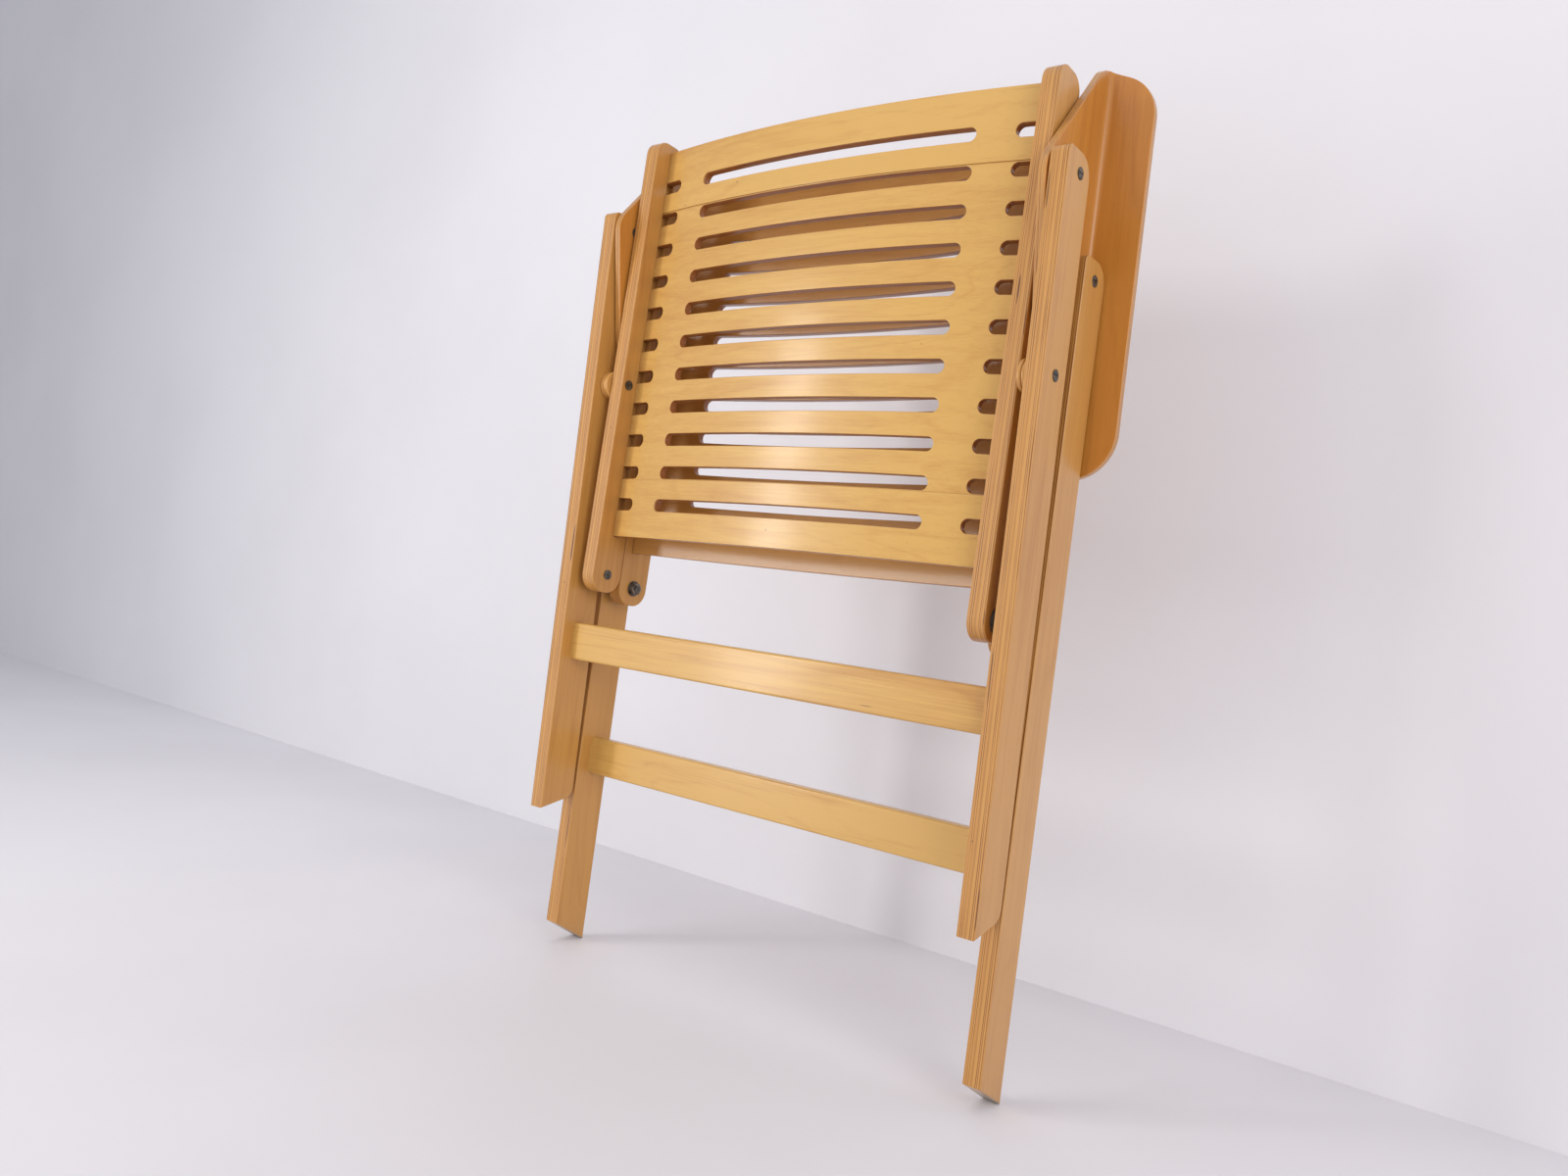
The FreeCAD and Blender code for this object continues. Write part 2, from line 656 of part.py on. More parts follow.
def strap(name, side):
    """A short flat strap that joins the lower ends of a seat rail and a back rail."""
    body = new_body(name + "_link_strap", "0", *SEAT_PLACE)
    plane = "%d * (inner_plane + ply + running_gap)" % side
    sketch = new_sketch(body, "YZ_Plane", "outline", plane)
    slope = "atan(link_drop / link_across)"
    tilt = value(slope)
    ends = (("0", "0", 90), ("link_across", "-link_drop", 270))
    curves = []
    for y, z, angle in ends:
        curve = arc(sketch, y, z, "strap_half_width", angle - tilt, angle - tilt + 180)
        sign = 1 if angle == 90 else -1
        hold_point(sketch, curve, 1, x="%s + %d * strap_half_width * sin(%s)" % (y, sign, slope))
        hold_point(sketch, curve, 2, x="%s - %d * strap_half_width * sin(%s)" % (y, sign, slope))
        curves.append(curve)
    join(sketch, curves[0], 1, curves[1], 2)
    join(sketch, curves[0], 2, curves[1], 1)
    extrude(body, "Pad", sketch, "strap_thick", reverse=side < 0)
    sketch = new_sketch(body, "YZ_Plane", "holes")
    for y, z, _ in ends:
        circle(sketch, y, z, "pin_hole")
    extrude(body, "Pocket", sketch, CUT_THROUGH, midplane=True)
    return body


def hexagon_nuts(label, place, low, high):
    """A hexagonal nut on each side, between two planes."""
    body = new_body(label, "0", *place)
    sketch = new_sketch(body, "YZ_Plane", "hexagon", low)
    corners = []
    for number in range(6):
        angle = "(%d * 60 + 30) * 1 deg" % number
        reach = "nut_half_width / cos(30 * 1 deg)"
        corners.append(("%s * cos(%s)" % (reach, angle), "%s * sin(%s)" % (reach, angle)))
    outline(sketch, corners)
    circle(sketch, "0", "0", "pin_hole")
    extrude(body, "Pad", sketch, "(%s) - (%s)" % (high, low))
    return mirror(body, [body.Tip])


# ---------------------------------------------------------------- the chair

INNER_FACE = "inner_plane"
RAIL_FACE = "inner_plane + ply"
LEG_FACE = "outer_plane"
OUTER_FACE = "outer_plane + ply"
SEAT_PIVOT_PLACE = (
    "seat_link_y - seat_pivot_offset * cos(rail_tilt * 1 deg) + seat_pivot_along * sin(rail_tilt * 1 deg)"
    " + depth_shift",
    "seat_link_z + seat_pivot_offset * sin(rail_tilt * 1 deg) + seat_pivot_along * cos(rail_tilt * 1 deg)",
)
BACK_PIVOT_PLACE = (BACK_PIVOT_Y + " + rear_pivot_y + depth_shift", BACK_PIVOT_Z + " + rear_pivot_z")


def through_screws(label, place, inner_low, inner_high, inner_head):
    """Slotted screws through a leg, with a thin head at the inner end."""
    outer_end = OUTER_FACE + " + screw_head_height"
    profile = [
        (inner_low, inner_head),
        (inner_high, inner_head),
        (inner_high, "screw_shank"),
        (OUTER_FACE, "screw_shank"),
        (OUTER_FACE, "screw_head"),
        (outer_end + " - head_round", "screw_head"),
        (outer_end, "screw_head - 2 * head_round"),
    ]
    body = turned_pair(label, place, profile)
    return slot_heads(body, body.Tip.Originals[0], outer_end)


def inner_nut(label, place):
    nut_low = "arm_inner - running_gap - inner_head_height"
    return through_screws(label, place, nut_low, nut_low + " + inner_head_height", "inner_nut_radius")


for name, side in SIDES:
    front_leg(name, side)
    rear_leg(name, side)
    seat_holes = [("0", "0", "pin_hole"), SEAT_PIVOT + ("screw_hole",)]
    rail(name + "_seat_rail", side, SEAT_PLACE, "seat_rail_top", "seat_panel_low", "seat_panel_height", 1,
         seat_holes)
    back_holes = [("0", "0", "pin_hole")]
    blind = [("0", "back_pivot_along", "pin_hole", "back_pin_depth")]
    rail(name + "_back_rail", side, BACK_PLACE, "back_rail_top", "back_panel_low", "back_panel_height", -1,
         back_holes, blind)
    armrest(name, side)
    strap(name, side)

stretcher("front_stretcher", FRONT_PLACE, FRONT_STRETCHER_Y, "front_stretcher_drop", FRONT_DOWELS)
dowels("front_stretcher_dowels", FRONT_PLACE, FRONT_DOWELS)
stretcher("rear_stretcher", REAR_PLACE, REAR_STRETCHER_Y, "rear_stretcher_drop", REAR_DOWELS)
dowels("rear_stretcher_dowels", REAR_PLACE, REAR_DOWELS)

inner_nut("front_leg_pivot_screws", FRONT_PLACE[:2])
inner_nut("rear_leg_pivot_screws", REAR_UPRIGHT[:2])
head_low = INNER_FACE + " - running_gap - inner_head_height"
through_screws("seat_pivot_screws", SEAT_PIVOT_PLACE, head_low, INNER_FACE + " - running_gap", "screw_head")
washer_low = LEG_FACE + " - washer_height"
ring_pair("front_leg_washers", FRONT_PLACE[:2], washer_low, LEG_FACE, "washer_radius", "screw_hole")
ring_pair("rear_leg_washers", REAR_UPRIGHT[:2], washer_low, LEG_FACE, "washer_radius", "screw_hole")
spacer_low = RAIL_FACE + " + running_gap"
ring_pair("seat_spacers", SEAT_PIVOT_PLACE, spacer_low, LEG_FACE, "spacer_radius", "screw_hole")

strap_outer = RAIL_FACE + " + 2 * running_gap + strap_thick"
turned_pair("seat_link_pins", SEAT_PLACE, [
    (INNER_FACE + " - inner_head_height", "screw_head"),
    (INNER_FACE, "screw_head"),
    (INNER_FACE, "pin_shank"),
    (strap_outer, "pin_shank"),
    (strap_outer, "screw_head"),
    (strap_outer + " + pin_head_height", "screw_head"),
])
link_washer_low = INNER_FACE + " - link_washer_height"
nut_low = link_washer_low + " - nut_height"
turned_pair("back_link_bolts", BACK_PLACE, [
    (nut_low + " - bolt_end", "pin_shank - bolt_chamfer"),
    (nut_low + " - bolt_end + bolt_chamfer", "pin_shank"),
    (strap_outer, "pin_shank"),
    (strap_outer, "nut_half_width"),
    (strap_outer + " + bolt_head_height", "nut_half_width"),
])
ring_pair("back_link_washers", BACK_PLACE, link_washer_low, INNER_FACE, "washer_radius", "pin_hole")
hexagon_nuts("back_link_nuts", BACK_PLACE, nut_low, link_washer_low)
cap_low = "arm_inner + arm_ply + running_gap"
turned_pair("back_pivot_screws", BACK_PIVOT_PLACE, [
    (RAIL_FACE + " - back_pin_depth + running_gap", "pin_shank"),
    (cap_low, "pin_shank"),
    (cap_low, "washer_radius"),
    (LEG_FACE + " - running_gap", "washer_radius"),
])
washer_high = "arm_inner - running_gap"
ring_pair("back_pivot_washers", BACK_PIVOT_PLACE, RAIL_FACE, washer_high, "washer_radius", "pin_hole")

panel("seat_panel", SEAT_PLACE, 1, "seat_panel_low", "seat_panel_height", "seat_slot_low")
panel("back_panel", BACK_PLACE, -1, "back_panel_low", "back_panel_height", "back_slot_low")
for panel_name, place, facing, ends in (("seat", SEAT_PLACE, 1, ("rear", "front")),
                                        ("back", BACK_PLACE, -1, ("lower", "top"))):
    low = panel_name + "_panel_low"
    high = "%s_panel_low + %s_panel_height" % (panel_name, panel_name)
    slots = panel_name + "_slot_low"
    last = "%s + %d * slot_pitch" % (slots, SLOT_COUNT - 1)
    inner_low = slots + " + slot_pitch - slot_half_height - band_margin"
    inner_high = last + " - slot_pitch + slot_half_height + band_margin"
    band("%s_panel_%s_band" % (panel_name, ends[0]), place, facing, low, inner_low, slots)
    band("%s_panel_%s_band" % (panel_name, ends[1]), place, facing, inner_high, high, last)

doc.recompute()
for item in doc.Objects:
    if "Invalid" in item.State or "Error" in item.State:
        raise RuntimeError(item.Label + " could not be built")
bodies = [item for item in doc.Objects if item.TypeId == "PartDesign::Body"]
for body in bodies:
    if body.Shape.isNull() or not body.Shape.isValid():
        raise RuntimeError(body.Label + " has no valid shape")
    if not body.Shape.Solids:
        raise RuntimeError(body.Label + " is not solid")

os.makedirs(STEP_FOLDER, exist_ok=True)
for body in bodies:
    body.Shape.exportStep(os.path.join(STEP_FOLDER, body.Label + ".step"))
    print(body.Label, len(body.Shape.Solids), round(body.Shape.Volume))
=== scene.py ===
"""Looks of a folding plywood armchair, shown folded and upright.

The frame gives every piece its place. The slotted panels, their end bands, the spacers and the link
nuts are modelled here; every other piece keeps its own shape and gets its finish.
"""
import json
import math

import bpy
from bpy.props import FloatProperty, FloatVectorProperty, IntProperty, PointerProperty
from bpy.types import Operator, Panel, PropertyGroup
from mathutils import Matrix, Vector


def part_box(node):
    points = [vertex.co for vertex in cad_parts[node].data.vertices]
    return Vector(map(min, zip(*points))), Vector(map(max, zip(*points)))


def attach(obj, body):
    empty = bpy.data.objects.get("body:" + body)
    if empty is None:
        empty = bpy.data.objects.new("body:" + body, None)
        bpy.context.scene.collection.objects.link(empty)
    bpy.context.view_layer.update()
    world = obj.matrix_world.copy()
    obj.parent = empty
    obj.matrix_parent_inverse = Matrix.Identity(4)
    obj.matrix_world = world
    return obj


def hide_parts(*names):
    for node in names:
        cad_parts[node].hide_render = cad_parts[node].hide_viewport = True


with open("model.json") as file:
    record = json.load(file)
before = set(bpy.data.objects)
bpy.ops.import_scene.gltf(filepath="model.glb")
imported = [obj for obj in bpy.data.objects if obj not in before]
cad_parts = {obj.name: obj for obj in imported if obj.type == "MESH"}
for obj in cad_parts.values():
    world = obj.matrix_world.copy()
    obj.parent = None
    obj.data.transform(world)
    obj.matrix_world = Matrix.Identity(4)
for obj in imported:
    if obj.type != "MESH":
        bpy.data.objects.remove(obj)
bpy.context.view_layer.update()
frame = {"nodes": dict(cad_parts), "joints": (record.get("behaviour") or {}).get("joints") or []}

bl_info = {
    "name": "Folding Plywood Armchair",
    "version": (1, 0, 0),
    "blender": (4, 5, 0),
    "location": "3D Viewport > Sidebar > Chair",
    "description": "Builds the slotted panels, small parts and finishes of a folding plywood armchair",
    "category": "Object",
}

NODES = frame["nodes"]
PIVOTS = {joint["name"]: Vector(joint["pos_m"]) for joint in frame["joints"]}
SEAT_LINK = PIVOTS["right_strap_fold"]
BACK_LINK = PIVOTS["back_fold"]

# Modelling, in metres
TINY = 1e-6
CUTTER_DEPTH = 0.2
CUTTER_SIDES = 28
BEND_STRIPS = 44
EDGE_SHARE = 0.45
PANEL_PLAY = 0.0002
BAND_PLAY = 0.0004
BAND_MARGIN = 0.001
SPACER_LENGTH = 0.0117
SPACER_BORE = 0.0036
SPACER_BORE_STEP = 0.0001
SPACER_OVERLAP = 0.0003
SPACER_ROUNDING = 0.36
SPACER_PROFILE = (1.0, 0.95, 0.99)
SPACER_SIDES = 56
NUT_DEPTH = 0.005
NUT_EDGE = 0.0007
BOLT_RADIUS = 0.0040
THREAD_PITCH = 0.0006
THREAD_TURNS = 3
THREAD_LENGTH = 0.0019
THREAD_RADIUS = 0.00402
THREAD_BORE = 0.0030
THREAD_EDGE = 0.0002

# Ply: a sheet's thickness and number of layers, and where an armrest's flange turns into its plate
LEG_SHEET = (0.018, 8.0)
PANEL_LAYERS = 7.0
ARMREST_SHEET = (0.008, 5.0)
ARMREST_CORNER = (0.004, 0.013)

# Turns that bring the grain to Z, and how densely each part of the figure lies along X, Y and Z, per metre
GRAIN_UP = (0, 0, 0)
GRAIN_ACROSS = (0, math.pi / 2, 0)
RING_FIELD = (13, 13, 2.1)
FINE_STREAKS = (620, 620, 9)
SOFT_STREAKS = (95, 95, 4.5)
PORES = (1500, 1500, 85)
CLOUDS = (5, 5, 2.2)
LAYER_SWAY = (30, 30, 3.5)
GLUE_WIDTH = (90, 90, 14)
LAYER_FIBRES = (900, 900, 20)
LAYER_ENDS = (700, 700, 520)
LAYER_VOIDS = (210, 210, 8)
SLITS = (230, 230, 12)
SCRATCH_ALONG = (16, 700, 700)
SCRATCH_UP = (700, 700, 22)
BRUSHED = (500, 2600, 2600)

# Finish
PANEL_ROUGHNESS = 0.33
WOOD_ROUGHNESS = 0.36
FACE_RELIEF = 0.12
PLY_RELIEF = 0.2
WOOD_RELIEF_DEPTH = 0.0004
METAL_RELIEF_DEPTH = 0.0002
VOID_COLOUR = (0.11, 0.038, 0.015)
SPECK_COLOUR = (0.12, 0.05, 0.02)
SLIT_COLOUR = (0.10, 0.035, 0.014)
WORN_FOOT = (0.30, 0.25, 0.20)

# Stage
FLOOR_REACH = 6.5
WALL_GAP = 0.40
WALL_RISE = 3.2
ROOM_LIGHT = (0.90, 0.92, 1.0, 1)
ROOM_STRENGTH = 0.58
LIT_POINT = Vector((0, 0, 0.5))
LIGHTS = (
    # name, place, size, power, tint
    ("Key light", (-1.0, -2.2, 1.35), (0.5, 0.5), 10, (1.0, 0.985, 0.96)),
    ("Narrow window", (-1.25, -1.66, 0.7), (0.22, 1.3), 13, (1.0, 0.99, 0.97)),
    ("Ceiling light", (-0.2, -1.5, 2.9), (2.6, 2.6), 11, (1.0, 0.99, 0.98)),
    ("Side fill", (2.3, -1.3, 1.1), (1.6, 1.6), 26, (1.0, 0.95, 0.92)),
)
CAMERA_PLACE = (0.7197, -0.9566, 0.4279)
CAMERA_RIGHT = (0.79191, 0.59824, 0.12241)
CAMERA_FORWARD = (-0.60400, 0.79688, 0.01299)
CAMERA_SENSOR = 36
CAMERA_LENS = 26.46


# ---------------------------------------------------------------- what a user would change

def length(name, description, default):
    return FloatProperty(name=name, description=description, default=default, subtype="DISTANCE",
                         unit="LENGTH", precision=4)


def colour(name, description, default):
    return FloatVectorProperty(name=name, description=description, default=default, subtype="COLOR",
                               min=0, max=1)


class ChairSizes(PropertyGroup):
    """Sizes of the pieces modelled here, in metres."""

    half_width: length("Half width", "From the chair's middle to a side rail's inner face", 0.237)
    tongue: length("Tongue", "How far a panel reaches into a rail's groove", 0.006)
    thickness: length("Panel thickness", "Thickness of the bent ply panels", 0.009)
    sagitta: length("Bulge", "How far a panel's middle stands out beyond its ends", 0.0192)
    set_back: length("Edge offset", "From a rail's middle to a panel's bulging face at the rail", 0.0006)
    lean: FloatProperty(name="Rail lean", description="How far the folded rails lean back",
                        default=math.radians(2.18), subtype="ANGLE")
    slot_count: IntProperty(name="Slot rows", description="Rows of slots in each panel", default=11, min=1)
    slot_pitch: length("Slot pitch", "Distance from one row of slots to the next", 0.037)
    slot_height: length("Slot height", "Height of a slot", 0.014)
    long_slot: length("Long slot", "Half the length of the middle slot", 0.171)
    short_slot: length("Short slot", "From the chair's middle to the start of a short slot", 0.210)
    seat_low: length("Seat panel start", "From the link pivot to the seat panel's lower edge", 0.045)
    seat_height: length("Seat panel height", "Height of the seat panel", 0.450)
    seat_slot: length("Seat slot start", "From the link pivot to the seat panel's first slot", 0.082)
    back_low: length("Back panel start", "From the link pivot to the back panel's lower edge", 0.041)
    back_height: length("Back panel height", "Height of the back panel", 0.437)
    back_slot: length("Back slot start", "From the link pivot to the back panel's first slot", 0.071)
    band: length("Band thickness", "Thickness of the veneer bands at the panels' ends", 0.0014)
    edge: length("Eased edge", "Rounding of the panels' edges and slots", 0.0009)
    spacer_radius: length("Spacer radius", "Radius of the turned spacers beside the seat", 0.016)
    nut_width: length("Nut width", "Distance between opposite flats of the link nuts", 0.013)


class ChairColours(PropertyGroup):
    """Colours of the finishes; the slot-wall colour and the back panel's colours carry painted shade."""

    seat_pale: colour("Panel pale", "Pale wood of the panels", (0.625, 0.366, 0.096))
    seat_dark: colour("Panel figure", "Darker figure of the panels", (0.46, 0.20, 0.040))
    leg_pale: colour("Leg pale", "Pale wood of the legs and rails", (0.56, 0.28, 0.068))
    leg_dark: colour("Leg figure", "Darker figure of the legs and rails", (0.39, 0.145, 0.027))
    # Painted shade: the back panel's colours are a darker, more orange copy of the panel wood, for the
    # shade and warm bounce it sits in behind the seat panel
    back_pale: colour("Back panel pale", "Pale wood of the back panel", (0.60, 0.30, 0.075))
    back_dark: colour("Back panel figure", "Darker figure of the back panel", (0.43, 0.165, 0.032))
    arm_pale: colour("Armrest pale", "Pale wood of the armrests", (0.55, 0.225, 0.034))
    arm_dark: colour("Armrest figure", "Darker figure of the armrests", (0.38, 0.125, 0.018))
    core_pale: colour("Core pale", "Pale layers in the ply edges", (0.58, 0.29, 0.072))
    core_dark: colour("Core dark", "Darker layers in the ply edges", (0.43, 0.17, 0.038))
    glue: colour("Glue line", "Glue lines between the layers", (0.16, 0.05, 0.014))
    # Slot wall: painted shade, the darkening that falls inside the slots, laid on the panels' edges and
    # slot walls
    slot_wall_shade: colour("Slot wall", "Stained walls of the slots", (0.34, 0.11, 0.028))
    metal: colour("Metal", "Dull dark metal of the screws and straps", (0.20, 0.18, 0.155))
    floor: colour("Floor", "Pale floor and backdrop", (0.79, 0.775, 0.80))


# ---------------------------------------------------------------- modelling helpers

def start_clean():
    if bpy.context.object and bpy.context.object.mode != "OBJECT":
        bpy.ops.object.mode_set(mode="OBJECT")
    bpy.ops.object.select_all(action="DESELECT")


def only(piece):
    start_clean()
    piece.select_set(True)
    bpy.context.view_layer.objects.active = piece


def named(name):
    piece = bpy.context.object
    piece.name = name
    piece.data.name = name
    return piece


def settle(piece, place=None):
    """Put the piece's place into its mesh."""
    only(piece)
    if place is not None:
        piece.matrix_world = place
    bpy.ops.object.transform_apply(location=True, rotation=True, scale=True)


def block(name, low, high):
    start_clean()
    middle = [(a + b) / 2 for a, b in zip(low, high)]
    bpy.ops.mesh.primitive_cube_add(size=1, location=middle, scale=[b - a for a, b in zip(low, high)])
    piece = named(name)
    settle(piece)
    return piece


def select_points(piece, wanted):
    """Select the vertices, in edit mode, for which wanted(position) is true."""
    bpy.ops.object.mode_set(mode="EDIT")
    bpy.ops.mesh.select_mode(type="VERT")
    bpy.ops.mesh.select_all(action="DESELECT")
    bpy.ops.object.mode_set(mode="OBJECT")
    for point in piece.data.vertices:
        point.select = bool(wanted(point.co))
    bpy.ops.object.mode_set(mode="EDIT")


def select_faces(piece, wanted):
    bpy.ops.object.mode_set(mode="EDIT")
    bpy.ops.mesh.select_mode(type="FACE")
    bpy.ops.mesh.select_all(action="DESELECT")
    bpy.ops.object.mode_set(mode="OBJECT")
    for face in piece.data.polygons:
        face.select = bool(wanted(face))
    bpy.ops.object.mode_set(mode="EDIT")


def join(pieces, name):
    only(pieces[0])
    for piece in pieces[1:]:
        piece.select_set(True)
    bpy.ops.object.join()
    return named(name)


def apply_modifier(piece, kind, **settings):
    only(piece)
    modifier = piece.modifiers.new(kind.title(), kind)
    for key, setting in settings.items():
        setattr(modifier, key, setting)
    bpy.ops.object.modifier_apply(modifier=modifier.name)


def combine(piece, other, operation):
    """Cut the other piece away, or make one solid of both; the other piece is used up."""
    apply_modifier(piece, "BOOLEAN", object=other, operation=operation, solver="EXACT")
    bpy.data.objects.remove(other, do_unlink=True)


def ease(piece, width, segments=3, angle=math.radians(40)):
    apply_modifier(piece, "BEVEL", width=width, segments=segments, limit_method="ANGLE", angle_limit=angle,
                   use_clamp_overlap=True)


def outward(piece):
    """Merge doubled points and turn every face outward."""
    only(piece)
    bpy.ops.object.mode_set(mode="EDIT")
    bpy.ops.mesh.select_mode(type="VERT")
    bpy.ops.mesh.select_all(action="SELECT")
    bpy.ops.mesh.remove_doubles(threshold=TINY)
    bpy.ops.mesh.normals_make_consistent(inside=False)
    bpy.ops.object.mode_set(mode="OBJECT")


def finish_surface(piece, angle=math.radians(35)):
    """Smooth shading that keeps broad faces flat between their rounded edges."""
    outward(piece)
    bpy.ops.object.shade_smooth_by_angle(angle=angle)
    apply_modifier(piece, "WEIGHTED_NORMAL", mode="FACE_AREA", weight=80, keep_sharp=True)


def slot_cutter(start, stop, level, height):
    """A level bar with round ends, from a cylinder whose halves are pulled apart."""
    start_clean()
    radius = height / 2
    middle = (start + stop) / 2
    reach = (stop - start) / 2 - radius
    bpy.ops.mesh.primitive_cylinder_add(vertices=CUTTER_SIDES, radius=radius, depth=CUTTER_DEPTH,
                                        location=(middle, 0, level), rotation=(math.pi / 2, 0, 0))
    cutter = named("slot_cutter")
    settle(cutter)
    for side in (-1, 1):
        select_points(cutter, lambda spot: side * (spot.x - middle) > 10 * TINY)
        bpy.ops.transform.translate(value=(side * reach, 0, 0))
        bpy.ops.object.mode_set(mode="OBJECT")
    return cutter


def slot_rows(sizes, level, count):
    """Cutters for rows of one long slot and two short ones that run out at the sides."""
    beyond = sizes.half_width + sizes.tongue + 2 * sizes.slot_height
    spans = ((-sizes.long_slot, sizes.long_slot), (sizes.short_slot, beyond), (-beyond, -sizes.short_slot))
    row = join([slot_cutter(*span, level, sizes.slot_height) for span in spans], "slot_row")
    if count > 1:
        apply_modifier(row, "ARRAY", count=count, use_relative_offset=False, use_constant_offset=True,
                       constant_offset_displace=(0, 0, sizes.slot_pitch))
    return row


def bend_radius(sizes):
    return (sizes.half_width ** 2 + sizes.sagitta ** 2) / (2 * sizes.sagitta)


def bend_place(sizes, pivot, facing):
    """Where a panel modelled flat goes: its bulging face at the middle, its rails' lean and its side."""
    turn = Matrix.Rotation(0 if facing > 0 else math.pi, 4, "Z")
    lean = Matrix.Rotation(-sizes.lean, 4, "X")
    middle = Matrix.Translation((0, sizes.set_back - sizes.sagitta, 0))
    return Matrix.Translation((0, pivot.y, pivot.z)) @ lean @ turn @ middle


def bent_sheet(name, sizes, half, low, high, front, rear, level, rows, pivot, facing):
    """A slotted sheet with eased edges, modelled flat, divided across and then bent."""
    radius = bend_radius(sizes)
    flat_half = radius * math.asin(half / radius)
    sheet = block(name, (-flat_half, front, low), (flat_half, rear, high))
    combine(sheet, slot_rows(sizes, level, rows), "DIFFERENCE")
    ease(sheet, min(sizes.edge, (rear - front) * EDGE_SHARE))
    only(sheet)
    bpy.ops.object.mode_set(mode="EDIT")
    for number in range(1, BEND_STRIPS):
        bpy.ops.mesh.select_all(action="SELECT")
        across = flat_half * (2 * number / BEND_STRIPS - 1)
        bpy.ops.mesh.bisect(plane_co=(across, 0, 0), plane_no=(1, 0, 0))
    bpy.ops.object.mode_set(mode="OBJECT")
    apply_modifier(sheet, "SIMPLE_DEFORM", deform_method="BEND", deform_axis="Z",
                   angle=2 * flat_half / radius)
    settle(sheet, bend_place(sizes, pivot, facing))
    finish_surface(sheet)
    return sheet


def ring(name, sides, radius, hole, start, stop, width, y, z):
    """A disc or nut about an axis along X, bored through and with eased rims."""
    start_clean()
    bpy.ops.mesh.primitive_cylinder_add(vertices=sides, radius=radius, depth=stop - start,
                                        location=((start + stop) / 2, y, z), rotation=(0, math.pi / 2, 0))
    piece = named(name)
    settle(piece)
    select_faces(piece, lambda face: abs(face.normal.x) > 0.9)
    bpy.ops.mesh.inset(thickness=(radius - hole) * (math.cos(math.pi / sides)), use_boundary=True)
    bpy.ops.mesh.bridge_edge_loops()
    bpy.ops.object.mode_set(mode="OBJECT")
    ease(piece, width, segments=2, angle=math.radians(50))
    return piece


def mirrored(piece):
    """Add the same shape on the other side of the chair's middle."""
    apply_modifier(piece, "MIRROR", use_axis=(True, False, False), use_mirror_merge=False)
    return piece


def ride_as(piece, body, slot, *nodes):
    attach(piece, body)
    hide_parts(*nodes)


# ---------------------------------------------------------------- node helpers

class Nodes:
    """Adds shader nodes to a tree in few words."""

    def __init__(self, tree):
        self.tree = tree

    def add(self, kind, **settings):
        node = self.tree.nodes.new(kind)
        for key, setting in settings.items():
            setattr(node, key, setting)
        return node

    def put(self, socket, given):
        """Link a socket, or set its value."""
        if given is None:
            return
        if isinstance(given, bpy.types.NodeSocket):
            self.tree.links.new(given, socket)
        else:
            if isinstance(given, (tuple, list)) and len(given) == 3 and socket.type == "RGBA":
                given = (*given, 1)
            socket.default_value = given

    def math(self, operation, one, two=None, three=None, clamp=False):
        node = self.add("ShaderNodeMath", operation=operation, use_clamp=clamp)
        for socket, given in zip(node.inputs, (one, two, three)):
            self.put(socket, given)
        return node.outputs[0]

    def mix(self, share, one, two):
        node = self.add("ShaderNodeMix", data_type="RGBA", blend_type="MIX")
        self.put(node.inputs["Factor"], share)
        self.put(node.inputs[6], one)
        self.put(node.inputs[7], two)
        return node.outputs[2]

    def ramp(self, given, low, high, start=0.0, stop=1.0):
        """Smoothly from start to stop as the given number goes from low to high."""
        node = self.add("ShaderNodeMapRange", interpolation_type="SMOOTHSTEP")
        for name, number in (("Value", given), ("From Min", low), ("From Max", high), ("To Min", start),
                             ("To Max", stop)):
            self.put(node.inputs[name], number)
        return node.outputs[0]

    def stretch(self, vector, scale, location=(0, 0, 0), rotation=(0, 0, 0)):
        node = self.add("ShaderNodeMapping")
        self.put(node.inputs["Vector"], vector)
        node.inputs["Location"].default_value = location
        node.inputs["Rotation"].default_value = rotation
        node.inputs["Scale"].default_value = scale
        return node.outputs[0]

    def noise(self, vector, scale=1.0, detail=2.0, roughness=0.5, distortion=0.0):
        node = self.add("ShaderNodeTexNoise")
        self.put(node.inputs["Vector"], vector)
        for name, number in (("Scale", scale), ("Detail", detail), ("Roughness", roughness),
                             ("Distortion", distortion)):
            self.put(node.inputs[name], number)
        return node.outputs[0]

    def split(self, vector):
        node = self.add("ShaderNodeSeparateXYZ")
        self.put(node.inputs[0], vector)
        return node.outputs

    def group(self, tree, **inputs):
        node = self.add("ShaderNodeGroup", node_tree=tree)
        for name, given in inputs.items():
            self.put(node.inputs[name.replace("_", " ")], given)
        return node.outputs


def new_group(name, inputs, outputs):
    tree = bpy.data.node_groups.new(name, "ShaderNodeTree")
    for label, kind in inputs:
        tree.interface.new_socket(name=label, in_out="INPUT", socket_type=kind)
    for label, kind in outputs:
        tree.interface.new_socket(name=label, in_out="OUTPUT", socket_type=kind)
    nodes = Nodes(tree)
    return nodes, nodes.add("NodeGroupInput").outputs, nodes.add("NodeGroupOutput").inputs


